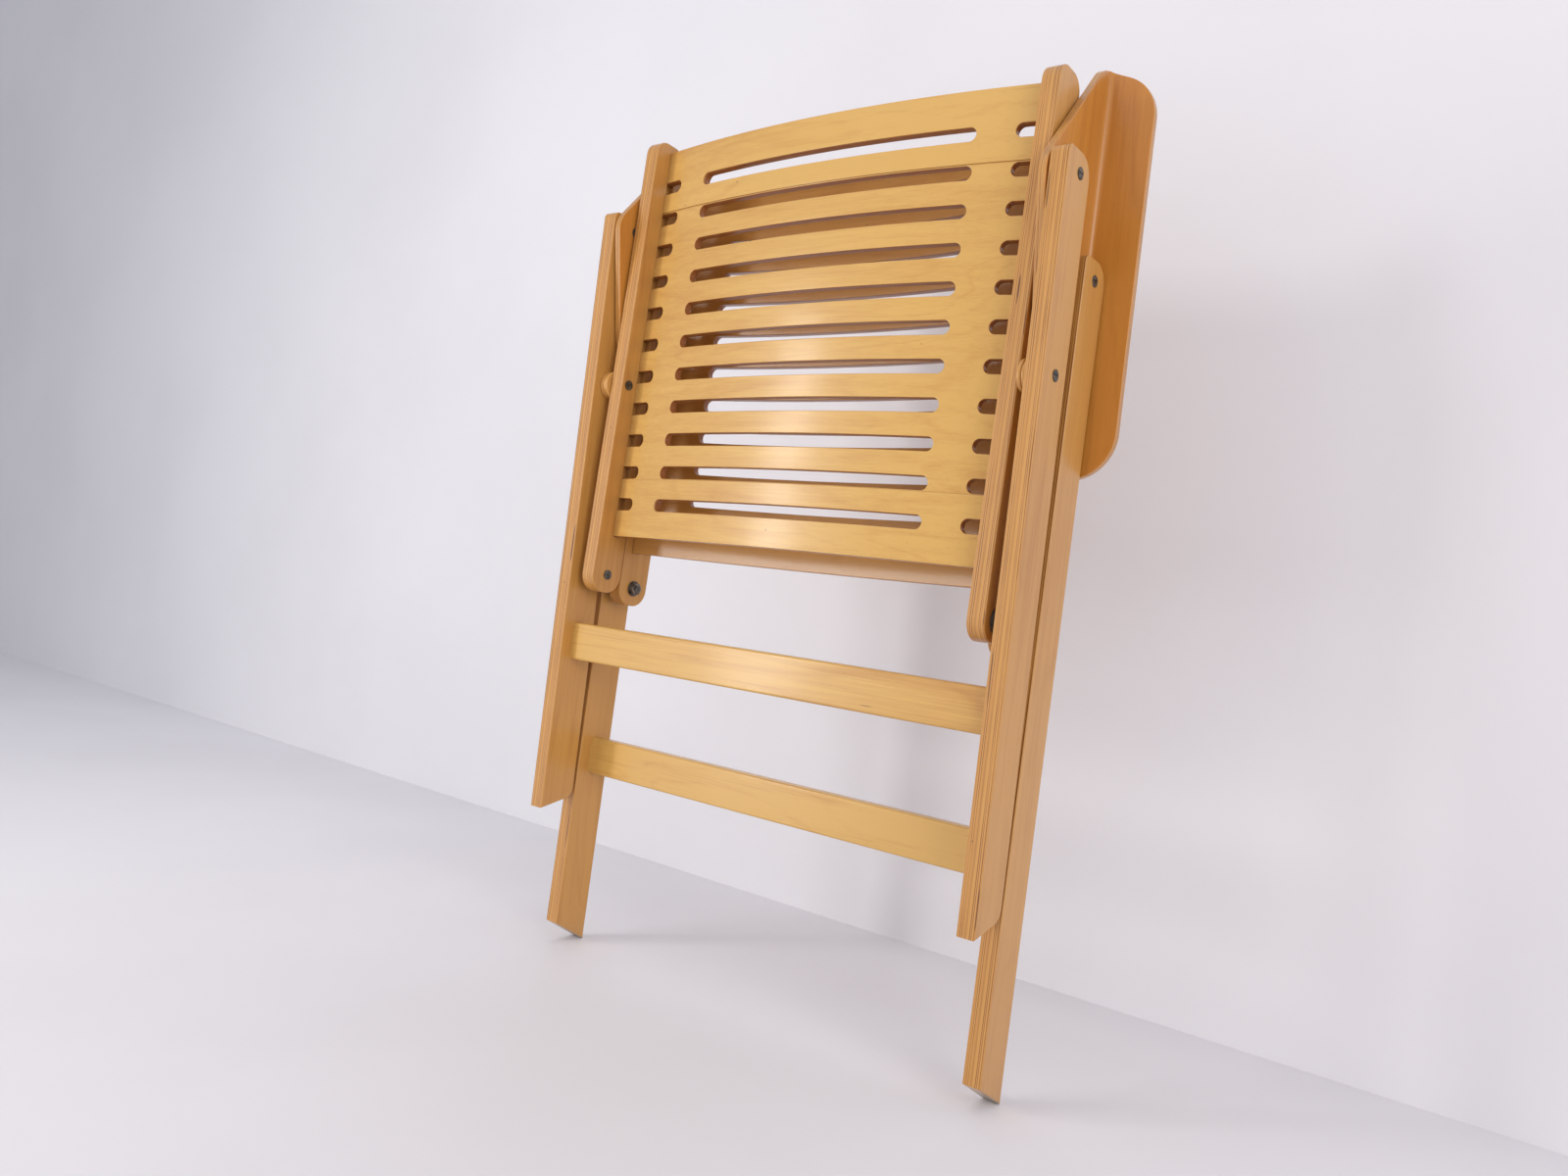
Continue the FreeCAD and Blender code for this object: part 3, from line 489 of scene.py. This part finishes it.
def wood_figure():
    """Veneer figure with its grain along Z: flowing rings, fine streaks and short pores."""
    name = "Wood figure"
    if name in bpy.data.node_groups:
        return bpy.data.node_groups[name]
    nodes, given, out = new_group(
        name,
        [("Vector", "NodeSocketVector"), ("Pale", "NodeSocketColor"), ("Dark", "NodeSocketColor"),
         ("Rings", "NodeSocketFloat"), ("Streaks", "NodeSocketFloat")],
        [("Color", "NodeSocketColor"), ("Height", "NodeSocketFloat")],
    )
    vector = given["Vector"]
    field = nodes.noise(nodes.stretch(vector, RING_FIELD), detail=2.5, roughness=0.45, distortion=0.5)
    rings = nodes.math("PINGPONG", nodes.math("MULTIPLY", field, 16), 1)
    rings = nodes.ramp(rings, 0.62, 1.0)
    streaks = nodes.noise(nodes.stretch(vector, FINE_STREAKS), detail=3, roughness=0.6)
    soft = nodes.noise(nodes.stretch(vector, SOFT_STREAKS), detail=3, roughness=0.55, distortion=0.3)
    pores = nodes.ramp(nodes.noise(nodes.stretch(vector, PORES), detail=1), 0.62, 0.74)
    cloud = nodes.noise(nodes.stretch(vector, CLOUDS), detail=1)
    shade = nodes.math("MULTIPLY", rings, given["Rings"])
    shade = nodes.math("MULTIPLY_ADD", nodes.math("SUBTRACT", streaks, 0.5), given["Streaks"], shade)
    shade = nodes.math("MULTIPLY_ADD", nodes.math("SUBTRACT", soft, 0.42), 0.9, shade)
    shade = nodes.math("MULTIPLY_ADD", nodes.math("SUBTRACT", cloud, 0.5), 1.0, shade)
    shade = nodes.math("MULTIPLY_ADD", pores, 0.22, shade, clamp=True)
    nodes.put(out["Color"], nodes.mix(shade, given["Pale"], given["Dark"]))
    height = nodes.math("MULTIPLY_ADD", pores, -0.8, nodes.math("MULTIPLY", streaks, 0.5))
    nodes.put(out["Height"], height)
    return nodes.tree


def ply_layers():
    """Layers seen on a ply edge, by depth from one face: uneven layers, dark glue lines and open voids."""
    name = "Ply layers"
    if name in bpy.data.node_groups:
        return bpy.data.node_groups[name]
    nodes, given, out = new_group(
        name,
        [("Depth", "NodeSocketFloat"), ("Thickness", "NodeSocketFloat"), ("Layers", "NodeSocketFloat"),
         ("Vector", "NodeSocketVector"), ("Pale", "NodeSocketColor"), ("Dark", "NodeSocketColor"),
         ("Glue", "NodeSocketColor")],
        [("Color", "NodeSocketColor"), ("Height", "NodeSocketFloat")],
    )
    vector = given["Vector"]
    sway = nodes.noise(nodes.stretch(vector, LAYER_SWAY), detail=2)
    share = nodes.math("DIVIDE", given["Depth"], given["Thickness"])
    thin_outside = nodes.math("SINE", nodes.math("MULTIPLY", share, 2 * math.pi))
    place = nodes.math("MULTIPLY", nodes.math("MULTIPLY_ADD", thin_outside, 0.07, share), given["Layers"])
    place = nodes.math("MULTIPLY_ADD", nodes.math("SUBTRACT", sway, 0.5), 0.34, place)
    uneven = nodes.math("SINE", nodes.math("MULTIPLY", place, 2.3))
    place = nodes.math("MULTIPLY_ADD", uneven, 0.18, place)
    part = nodes.math("FRACT", place)
    near = nodes.math("MINIMUM", part, nodes.math("SUBTRACT", 1, part))
    line_width = nodes.ramp(nodes.noise(nodes.stretch(vector, GLUE_WIDTH), detail=2), 0.3, 0.7, 0.11, 0.30)
    line = nodes.ramp(near, nodes.math("MULTIPLY", line_width, 0.3), line_width, 1, 0)
    which = nodes.add("ShaderNodeTexWhiteNoise", noise_dimensions="1D")
    nodes.put(which.inputs["W"], nodes.math("ROUND", place))
    line = nodes.math("MULTIPLY", line, nodes.ramp(which.outputs["Value"], 0.1, 0.6, 0.35, 1.0))
    crosswise = nodes.math("MODULO", nodes.math("FLOOR", place), 2)
    fibres = nodes.noise(nodes.stretch(vector, LAYER_FIBRES), detail=3, roughness=0.65)
    ends = nodes.noise(nodes.stretch(vector, LAYER_ENDS), detail=2)
    grain = nodes.mix(nodes.math("MULTIPLY", crosswise, 0.5), fibres, ends)
    shade = nodes.math("MULTIPLY_ADD", nodes.math("SUBTRACT", nodes.split(grain)[0], 0.5), 0.9,
                       nodes.math("MULTIPLY_ADD", crosswise, 0.24, 0.14), clamp=True)
    wood = nodes.mix(shade, given["Pale"], given["Dark"])
    wood = nodes.mix(nodes.math("MULTIPLY", line, 0.88), wood, given["Glue"])
    holes = nodes.stretch(vector, LAYER_VOIDS, location=(3.1, 1.7, 0.4))
    holes = nodes.noise(holes, detail=1, roughness=0.4)
    holes = nodes.math("MULTIPLY", nodes.ramp(holes, 0.72, 0.75), crosswise)
    holes = nodes.math("MULTIPLY", holes, nodes.ramp(near, 0.1, 0.2))
    nodes.put(out["Color"], nodes.mix(holes, wood, VOID_COLOUR))
    height = nodes.math("MULTIPLY_ADD", line, -0.5, nodes.math("MULTIPLY", fibres, 0.35))
    nodes.put(out["Height"], nodes.math("MULTIPLY_ADD", holes, -2.0, height))
    return nodes.tree


def surface_marks():
    """Specks, faint scratches and smudges of an old varnish."""
    name = "Surface marks"
    if name in bpy.data.node_groups:
        return bpy.data.node_groups[name]
    nodes, given, out = new_group(
        name,
        [("Vector", "NodeSocketVector"), ("Amount", "NodeSocketFloat")],
        [("Specks", "NodeSocketFloat"), ("Scratches", "NodeSocketFloat"), ("Smudge", "NodeSocketFloat")],
    )
    vector = given["Vector"]
    cells = nodes.add("ShaderNodeTexVoronoi", feature="F1")
    nodes.put(cells.inputs["Vector"], vector)
    cells.inputs["Scale"].default_value = 62
    dots = nodes.ramp(cells.outputs["Distance"], 0.035, 0.085, 1, 0)
    rare = nodes.ramp(nodes.split(cells.outputs["Color"])[0], 0.80, 0.86)
    cluster = nodes.ramp(nodes.noise(vector, scale=7, detail=2), 0.46, 0.62)
    specks = nodes.math("MULTIPLY", nodes.math("MULTIPLY", dots, rare), cluster)
    nodes.put(out["Specks"], nodes.math("MULTIPLY", specks, given["Amount"], clamp=True))
    one = nodes.noise(nodes.stretch(vector, SCRATCH_ALONG, rotation=(0.3, 0.5, 0.2)), detail=1)
    two = nodes.noise(nodes.stretch(vector, SCRATCH_UP, rotation=(0.2, -0.6, 0.9)), detail=1)
    scratches = nodes.math("MAXIMUM", nodes.ramp(one, 0.70, 0.76), nodes.ramp(two, 0.70, 0.76))
    nodes.put(out["Scratches"], nodes.math("MULTIPLY", scratches, given["Amount"]))
    nodes.put(out["Smudge"], nodes.noise(vector, scale=17, detail=4, roughness=0.6))
    return nodes.tree


def new_material(name):
    material = bpy.data.materials.new(name)
    material.use_nodes = True
    tree = material.node_tree
    tree.nodes.clear()
    nodes = Nodes(tree)
    shader = nodes.add("ShaderNodeBsdfPrincipled")
    output = nodes.add("ShaderNodeOutputMaterial")
    tree.links.new(shader.outputs[0], output.inputs[0])
    return material, nodes, shader


def relief(nodes, shader, height, strength, distance):
    node = nodes.add("ShaderNodeBump")
    node.inputs["Strength"].default_value = strength
    node.inputs["Distance"].default_value = distance
    nodes.put(node.inputs["Height"], height)
    nodes.put(shader.inputs["Normal"], node.outputs[0])


def varnish(nodes, shader, base, height, marks, roughness, bump):
    """Satin varnish over wood: the shader's colour, gloss and fine relief."""
    base = nodes.mix(nodes.math("MULTIPLY", marks["Specks"], 0.85), base, SPECK_COLOUR)
    nodes.put(shader.inputs["Base Color"], base)
    smudged = nodes.math("MULTIPLY_ADD", nodes.math("SUBTRACT", marks["Smudge"], 0.5), 0.22, roughness)
    nodes.put(shader.inputs["Roughness"], smudged)
    scratched = nodes.math("MULTIPLY_ADD", marks["Scratches"], -0.6, height)
    relief(nodes, shader, scratched, bump, WOOD_RELIEF_DEPTH)
    shader.inputs["Coat Weight"].default_value = 0.35
    shader.inputs["Coat Roughness"].default_value = 0.16
    shader.inputs["Specular IOR Level"].default_value = 0.45


def wood_parts(nodes, pale, dark, grain, rings, streaks, shift):
    """Coordinates turned so that the grain runs along Z, with the figure and marks that follow them."""
    coordinates = nodes.add("ShaderNodeTexCoord")
    vector = nodes.stretch(coordinates.outputs["Object"], (1, 1, 1), location=shift, rotation=grain)
    figure = nodes.group(wood_figure(), Vector=vector, Pale=pale, Dark=dark, Rings=rings, Streaks=streaks)
    marks = nodes.group(surface_marks(), Vector=coordinates.outputs["Object"], Amount=1.0)
    return coordinates, vector, figure, marks


def solid_wood(name, pale, dark, grain, rings, roughness=WOOD_ROUGHNESS, shift=(0, 0, 0)):
    """Solid wood with fine open slits along its grain."""
    material, nodes, shader = new_material(name)
    _, vector, figure, marks = wood_parts(nodes, pale, dark, grain, rings, 0.9, shift)
    slits = nodes.noise(nodes.stretch(vector, SLITS, location=(0.6, 0.2, 0.9)), detail=1, roughness=0.4)
    slits = nodes.ramp(slits, 0.80, 0.83)
    base = nodes.mix(slits, figure["Color"], SLIT_COLOUR)
    height = nodes.math("MULTIPLY_ADD", slits, -2.0, figure["Height"])
    varnish(nodes, shader, base, height, marks, roughness, FACE_RELIEF)
    return material


def edge_layers(nodes, colours, depth, thickness, count, vector):
    return nodes.group(ply_layers(), Depth=depth, Thickness=thickness, Layers=count, Vector=vector,
                       Pale=tuple(colours.core_pale), Dark=tuple(colours.core_dark),
                       Glue=tuple(colours.glue))


def face_or_edge(nodes, face, figure, layers):
    """Colour and height: the figure where face is 1, the layers where it is 0."""
    base = nodes.mix(face, layers["Color"], figure["Color"])
    edge = nodes.math("MULTIPLY", nodes.math("SUBTRACT", 1, face), layers["Height"])
    return base, nodes.math("MULTIPLY_ADD", face, figure["Height"], edge)


def ply_sheet(name, colours, plane, shift, foot):
    """Flat ply whose faces look along X: figure on the faces, layers on the edges, wear at a foot."""
    material, nodes, shader = new_material(name)
    coordinates, vector, figure, marks = wood_parts(
        nodes, tuple(colours.leg_pale), tuple(colours.leg_dark), GRAIN_UP, 0.14, 0.9, shift)
    place = nodes.split(coordinates.outputs["Object"])
    normal = nodes.split(coordinates.outputs["Normal"])
    depth = nodes.math("SUBTRACT", nodes.math("ABSOLUTE", place[0]), plane)
    layers = edge_layers(nodes, colours, depth, *LEG_SHEET, vector)
    face = nodes.ramp(nodes.math("ABSOLUTE", normal[0]), 0.45, 0.62)
    base, height = face_or_edge(nodes, face, figure, layers)
    if foot:
        worn = nodes.math("MULTIPLY", nodes.ramp(place[2], 0.004, 0.030, 1, 0),
                          nodes.ramp(normal[2], -0.5, -0.2, 1, 0.12))
        base = nodes.mix(nodes.math("MULTIPLY", worn, 0.8), base, WORN_FOOT)
    varnish(nodes, shader, base, height, marks, WOOD_ROUGHNESS, PLY_RELIEF)
    return material


def bent_ply(name, colours, word, sizes, pivot, facing, shift):
    """A bent panel: figure across its faces, and layers on its edges and slot walls darkened with painted
    shade of the slots.
    """
    material, nodes, shader = new_material(name)
    # For the back panel these colours are a darker copy of the panel wood that carries painted shade
    pale = tuple(getattr(colours, word + "_pale"))
    dark = tuple(getattr(colours, word + "_dark"))
    coordinates, vector, figure, marks = wood_parts(nodes, pale, dark, GRAIN_ACROSS, 0.16, 0.7, shift)
    normal = nodes.split(coordinates.outputs["Normal"])
    radius = bend_radius(sizes)
    centre = Vector((0, facing * (sizes.set_back - sizes.sagitta + radius), 0))
    unlean = Matrix.Rotation(sizes.lean, 3, "X")
    offset = unlean @ Vector((0, -pivot.y, -pivot.z)) - centre
    upright = nodes.stretch(coordinates.outputs["Object"], (1, 1, 1), location=offset,
                            rotation=(sizes.lean, 0, 0))
    flat = nodes.add("ShaderNodeVectorMath", operation="MULTIPLY")
    nodes.put(flat.inputs[0], upright)
    flat.inputs[1].default_value = (1, 1, 0)
    reach = nodes.add("ShaderNodeVectorMath", operation="LENGTH")
    nodes.put(reach.inputs[0], flat.outputs[0])
    depth = nodes.math("SUBTRACT", radius, reach.outputs["Value"])
    # Painted shade: the dark slot-wall colour darkens the layers on every panel edge and slot wall,
    # standing in for the shade inside the slots
    slot_shade = tuple(colours.slot_wall_shade)
    half_shaded = tuple(0.45 * a + 0.55 * b for a, b in zip(colours.core_dark, slot_shade))
    layers = nodes.group(ply_layers(), Depth=depth, Thickness=sizes.thickness, Layers=PANEL_LAYERS,
                         Vector=vector, Pale=half_shaded, Dark=slot_shade,
                         Glue=tuple(0.5 * part for part in slot_shade))
    face = nodes.ramp(nodes.math("ABSOLUTE", normal[1]), 0.55, 0.8)
    base, height = face_or_edge(nodes, face, figure, layers)
    varnish(nodes, shader, base, height, marks, PANEL_ROUGHNESS, FACE_RELIEF)
    return material


def armrest_ply(name, colours, shift):
    """Ply bent along its length: flat flange beside the legs, broad plate across the back."""
    material, nodes, shader = new_material(name)
    coordinates, vector, figure, marks = wood_parts(
        nodes, tuple(colours.arm_pale), tuple(colours.arm_dark), GRAIN_UP, 0.16, 0.8, shift)
    place = nodes.split(coordinates.outputs["Object"])
    normal = nodes.split(coordinates.outputs["Normal"])
    low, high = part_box("right_armrest")
    across = nodes.math("ABSOLUTE", place[0])
    plate = nodes.ramp(across, low.x + ARMREST_CORNER[0], low.x + ARMREST_CORNER[1])
    on_flange = nodes.math("MULTIPLY", nodes.math("ABSOLUTE", normal[0]), nodes.math("SUBTRACT", 1, plate))
    on_plate = nodes.math("MULTIPLY", nodes.math("ABSOLUTE", normal[1]), plate)
    face = nodes.ramp(nodes.math("ADD", on_flange, on_plate), 0.3, 0.5)
    flange_depth = nodes.math("SUBTRACT", across, low.x)
    plate_depth = nodes.math("SUBTRACT", high.y, place[1])
    change = nodes.math("SUBTRACT", plate_depth, flange_depth)
    depth = nodes.math("MULTIPLY_ADD", plate, change, flange_depth)
    layers = edge_layers(nodes, colours, depth, *ARMREST_SHEET, vector)
    base, height = face_or_edge(nodes, face, figure, layers)
    varnish(nodes, shader, base, height, marks, PANEL_ROUGHNESS, FACE_RELIEF)
    return material


def dull_metal(name, tone, roughness):
    """Metal with a dull patina and fine lines around X."""
    material, nodes, shader = new_material(name)
    vector = nodes.add("ShaderNodeTexCoord").outputs["Object"]
    patina = nodes.noise(vector, scale=160, detail=5, roughness=0.65)
    fine = nodes.noise(nodes.stretch(vector, BRUSHED), detail=2)
    dark = tuple(0.35 * part for part in tone)
    nodes.put(shader.inputs["Base Color"], nodes.mix(nodes.ramp(patina, 0.35, 0.65), dark, tone))
    nodes.put(shader.inputs["Roughness"], nodes.math("MULTIPLY_ADD", patina, 0.3, roughness))
    shader.inputs["Metallic"].default_value = 0.85
    relief(nodes, shader, nodes.math("ADD", patina, fine), 0.25, METAL_RELIEF_DEPTH)
    return material


def coat(name, material):
    """Give a frame node its finish."""
    slots = NODES[name].material_slots
    if not slots:
        NODES[name].data.materials.append(material)
    for slot in slots:
        slot.material = material


def dress(piece, material):
    piece.data.materials.clear()
    piece.data.materials.append(material)


# ---------------------------------------------------------------- operators

class BuildPanel:
    """Shared by the two panel operators."""

    def build(self, context, word, facing, pivot, ends, shift):
        sizes = context.scene.chair_sizes
        colours = context.scene.chair_colours
        low = getattr(sizes, word + "_low")
        height = getattr(sizes, word + "_height")
        first = getattr(sizes, word + "_slot")
        last = first + (sizes.slot_count - 1) * sizes.slot_pitch
        clear = sizes.slot_pitch - sizes.slot_height / 2 - BAND_MARGIN
        finish = bent_ply("Bent %s ply" % word, colours, word, sizes, pivot, facing, shift)
        half = sizes.half_width + sizes.tongue - PANEL_PLAY
        sheet = bent_sheet(word + "_slotted_panel", sizes, half, low, low + height, 0, sizes.thickness,
                           first, sizes.slot_count, pivot, facing)
        dress(sheet, finish)
        ride_as(sheet, word, "ply", word + "_panel")
        spans = ((ends[0], low, first + clear, first), (ends[1], last - clear, low + height, last))
        for number, (end, bottom, top, level) in enumerate(spans, start=1):
            moved = tuple(part + 0.37 * number for part in shift)
            band_finish = bent_ply("Veneer band %s %d" % (word, number), colours, word, sizes, pivot,
                                   facing, moved)
            band = bent_sheet("%s_%s_veneer" % (word, end), sizes, sizes.half_width - BAND_PLAY, bottom,
                              top, -sizes.band, 0, level, 1, pivot, facing)
            dress(band, band_finish)
            ride_as(band, word, "ply", "%s_panel_%s_band" % (word, end))


class CHAIR_OT_seat_panel(BuildPanel, Operator):
    """Model the slotted seat panel and its two end bands"""

    bl_idname = "chair.seat_panel"
    bl_label = "Build Seat Panel"
    bl_options = {"REGISTER", "UNDO"}

    def execute(self, context):
        self.build(context, "seat", 1, SEAT_LINK, ("rear", "front"), (0.2, 0.1, 0.45))
        return {"FINISHED"}


class CHAIR_OT_back_panel(BuildPanel, Operator):
    """Model the slotted back panel and its two end bands"""

    bl_idname = "chair.back_panel"
    bl_label = "Build Back Panel"
    bl_options = {"REGISTER", "UNDO"}

    def execute(self, context):
        self.build(context, "back", -1, BACK_LINK, ("lower", "top"), (0.9, 0.5, 1.3))
        return {"FINISHED"}


class CHAIR_OT_spacers(Operator):
    """Model the turned spacers between the seat rails and the front legs"""

    bl_idname = "chair.spacers"
    bl_label = "Build Seat Spacers"
    bl_options = {"REGISTER", "UNDO"}

    def execute(self, context):
        sizes = context.scene.chair_sizes
        colours = context.scene.chair_colours
        low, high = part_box("seat_spacers")
        y, z = (low.y + high.y) / 2, (low.z + high.z) / 2
        start, stop = high.x - SPACER_LENGTH, high.x
        third = (stop - start) / 3
        discs = []
        for number, scale in enumerate(SPACER_PROFILE):
            radius = sizes.spacer_radius * scale
            bore = SPACER_BORE + number * SPACER_BORE_STEP
            end = min(start + (number + 1) * third + SPACER_OVERLAP, stop)
            discs.append(ring("disc", SPACER_SIDES, radius, bore, start + number * third, end,
                              third * SPACER_ROUNDING, y, z))
        spacer = discs[0]
        for disc in discs[1:]:
            combine(spacer, disc, "UNION")
        spacers = mirrored(named("turned_seat_spacers"))
        finish_surface(spacers)
        dress(spacers, solid_wood("Turned beech", tuple(colours.core_pale), tuple(colours.leg_pale),
                                  GRAIN_ACROSS, rings=0.3, roughness=0.3, shift=(1, 2, 3)))
        ride_as(spacers, "front_frame", "turned_wood", "seat_spacers")
        return {"FINISHED"}


class CHAIR_OT_link_nuts(Operator):
    """Model the hexagonal nuts and threaded bolt ends at the link straps"""

    bl_idname = "chair.link_nuts"
    bl_label = "Build Link Nuts"
    bl_options = {"REGISTER", "UNDO"}

    def execute(self, context):
        sizes = context.scene.chair_sizes
        colours = context.scene.chair_colours
        low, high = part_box("back_link_nuts")
        y, z = (low.y + high.y) / 2, (low.z + high.z) / 2
        start = high.x - NUT_DEPTH
        tip = start - THREAD_LENGTH
        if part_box("back_link_bolts")[1].x < tip:
            raise RuntimeError("the bolts end short of their nuts")
        radius = sizes.nut_width / 2 / math.cos(math.pi / 6)
        parts = [ring("nut", 6, radius, BOLT_RADIUS, start, high.x, NUT_EDGE, y, z)]
        for number in range(THREAD_TURNS):
            place = tip + number * THREAD_PITCH
            parts.append(ring("thread", 32, THREAD_RADIUS, THREAD_BORE, place, place + THREAD_PITCH * 0.9,
                              THREAD_EDGE, y, z))
        nuts = mirrored(join(parts, "hex_nuts_with_thread"))
        finish_surface(nuts, math.radians(25))
        dress(nuts, dull_metal("Nut metal", tuple(1.5 * part for part in colours.metal), 0.3))
        ride_as(nuts, "back", "metal", "back_link_nuts")
        return {"FINISHED"}


class CHAIR_OT_frames(Operator):
    """Finish the legs, rails and stretchers"""

    bl_idname = "chair.frames"
    bl_label = "Finish Frames"
    bl_options = {"REGISTER", "UNDO"}

    def execute(self, context):
        colours = context.scene.chair_colours
        dark = tuple(colours.leg_dark)
        for number, word in enumerate(("front_leg", "rear_leg", "seat_rail", "back_rail")):
            for side, shift in (("left", 0.7), ("right", 1.9)):
                node = "%s_%s" % (side, word)
                plane = min(abs(corner.x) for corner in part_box(node))
                own_shift = (shift + number * 0.61, number * 0.23, shift * 2.1)
                coat(node, ply_sheet("Ply " + node.replace("_", " "), colours, plane, own_shift,
                                     foot=word == "rear_leg"))
        for number, node in enumerate(("front_stretcher", "rear_stretcher")):
            words = node.replace("_", " ")
            coat(node, solid_wood("Beech " + words, tuple(colours.seat_pale), dark, GRAIN_ACROSS,
                                  rings=0.16, shift=(0.31 + number, 0.4, 0.9 * number)))
            coat(node + "_dowels", solid_wood("Dowel " + words, tuple(colours.core_pale), dark,
                                              GRAIN_ACROSS, rings=0.2, roughness=0.6))
        return {"FINISHED"}


class CHAIR_OT_armrests(Operator):
    """Finish the bent armrests"""

    bl_idname = "chair.armrests"
    bl_label = "Finish Armrests"
    bl_options = {"REGISTER", "UNDO"}

    def execute(self, context):
        colours = context.scene.chair_colours
        for side, shift in (("left", 0.4), ("right", 2.6)):
            coat(side + "_armrest", armrest_ply("Bent armrest ply " + side, colours, (shift, 0.3, shift)))
        return {"FINISHED"}


class CHAIR_OT_metal(Operator):
    """Finish the screws, pins, washers and straps"""

    bl_idname = "chair.metal"
    bl_label = "Finish Metal Parts"
    bl_options = {"REGISTER", "UNDO"}

    def execute(self, context):
        tone = tuple(context.scene.chair_colours.metal)
        screws = dull_metal("Screw metal", tone, 0.34)
        straps = dull_metal("Strap metal", tuple(0.7 * part for part in tone), 0.42)
        for node in NODES:
            if any(word in node for word in ("screws", "pins", "bolts", "washers")):
                coat(node, screws)
            if node.endswith("link_strap"):
                coat(node, straps)
        return {"FINISHED"}


class CHAIR_OT_stage(Operator):
    """Set the floor, the backdrop, the lights and the camera"""

    bl_idname = "chair.stage"
    bl_label = "Set Stage"
    bl_options = {"REGISTER", "UNDO"}

    def execute(self, context):
        scene = context.scene
        self.backdrop(scene.chair_colours)
        self.lights(scene)
        self.camera(scene)
        return {"FINISHED"}

    def backdrop(self, colours):
        """A floor, and a wall that the opened chair's back just clears and that is clear from behind."""
        start_clean()
        bpy.ops.mesh.primitive_plane_add(size=2 * FLOOR_REACH)
        floor = named("floor")
        start_clean()
        bpy.ops.mesh.primitive_plane_add(size=1, location=(0, WALL_GAP, WALL_RISE / 2),
                                         rotation=(math.pi / 2, 0, 0))
        wall = named("wall")
        wall.scale = (2 * FLOOR_REACH, WALL_RISE, 1)
        settle(wall)
        material, nodes, shader = new_material("Pale painted wall")
        vector = nodes.add("ShaderNodeTexCoord").outputs["Object"]
        tone = tuple(colours.floor)
        worn = nodes.ramp(nodes.noise(vector, scale=1.6, detail=4), 0.35, 0.7)
        painted = nodes.mix(worn, tone, tuple(0.95 * part for part in tone))
        nodes.put(shader.inputs["Base Color"], painted)
        nodes.put(shader.inputs["Roughness"], nodes.math("MULTIPLY_ADD", worn, 0.1, 0.55))
        seen = nodes.add("ShaderNodeMixShader")
        clear = nodes.add("ShaderNodeBsdfTransparent")
        behind = nodes.add("ShaderNodeNewGeometry").outputs["Backfacing"]
        links = nodes.tree.links
        links.new(behind, seen.inputs[0])
        links.new(shader.outputs[0], seen.inputs[1])
        links.new(clear.outputs[0], seen.inputs[2])
        output = next(node for node in nodes.tree.nodes if node.type == "OUTPUT_MATERIAL")
        links.new(seen.outputs[0], output.inputs[0])
        dress(floor, material)
        dress(wall, material)

    def lights(self, scene):
        """Soft room light and four panels; the key light gives light but no gloss."""
        world = bpy.data.worlds.new("Soft room")
        world.use_nodes = True
        background = world.node_tree.nodes["Background"]
        background.inputs[0].default_value = ROOM_LIGHT
        background.inputs[1].default_value = ROOM_STRENGTH
        scene.world = world
        for name, place, size, power, tint in LIGHTS:
            start_clean()
            bpy.ops.object.light_add(type="AREA", location=place)
            light = bpy.context.object
            light.name = name
            light.data.shape = "RECTANGLE"
            light.data.size, light.data.size_y = size
            light.data.energy = power
            light.data.color = tint
            light.rotation_euler = (LIT_POINT - Vector(place)).to_track_quat("-Z", "Y").to_euler()
            light.visible_glossy = name != "Key light"

    def camera(self, scene):
        """A low view from the front right."""
        start_clean()
        bpy.ops.object.camera_add()
        camera = bpy.context.object
        camera.name = "Camera"
        right = Vector(CAMERA_RIGHT).normalized()
        forward = Vector(CAMERA_FORWARD).normalized()
        up = right.cross(forward)
        turn = Matrix((right, up, -forward)).transposed().to_4x4()
        camera.matrix_world = Matrix.Translation(CAMERA_PLACE) @ turn
        camera.data.sensor_width = CAMERA_SENSOR
        camera.data.lens = CAMERA_LENS
        camera.data.clip_start = 0.05
        scene.camera = camera
        scene.view_settings.view_transform = "Standard"


class CHAIR_PT_panel(Panel):
    """Lists the chair's operators and sizes"""

    bl_idname = "CHAIR_PT_panel"
    bl_label = "Folding Armchair"
    bl_space_type = "VIEW_3D"
    bl_region_type = "UI"
    bl_category = "Chair"

    def draw(self, context):
        layout = self.layout
        for operator in OPERATORS:
            layout.operator(operator.bl_idname)
        for group in (context.scene.chair_sizes, context.scene.chair_colours):
            box = layout.box()
            for name in group.bl_rna.properties.keys():
                if name not in ("rna_type", "name"):
                    box.prop(group, name)


OPERATORS = (
    CHAIR_OT_seat_panel,
    CHAIR_OT_back_panel,
    CHAIR_OT_spacers,
    CHAIR_OT_link_nuts,
    CHAIR_OT_frames,
    CHAIR_OT_armrests,
    CHAIR_OT_metal,
    CHAIR_OT_stage,
)
CLASSES = (ChairSizes, ChairColours) + OPERATORS + (CHAIR_PT_panel,)


def register():
    for item in CLASSES:
        bpy.utils.register_class(item)
    bpy.types.Scene.chair_sizes = PointerProperty(type=ChairSizes)
    bpy.types.Scene.chair_colours = PointerProperty(type=ChairColours)


def unregister():
    del bpy.types.Scene.chair_colours
    del bpy.types.Scene.chair_sizes
    for item in reversed(CLASSES):
        bpy.utils.unregister_class(item)


def main():
    register()
    bpy.ops.chair.seat_panel()
    bpy.ops.chair.back_panel()
    bpy.ops.chair.spacers()
    bpy.ops.chair.link_nuts()
    bpy.ops.chair.frames()
    bpy.ops.chair.armrests()
    bpy.ops.chair.metal()
    bpy.ops.chair.stage()


if __name__ == "__main__":
    main()
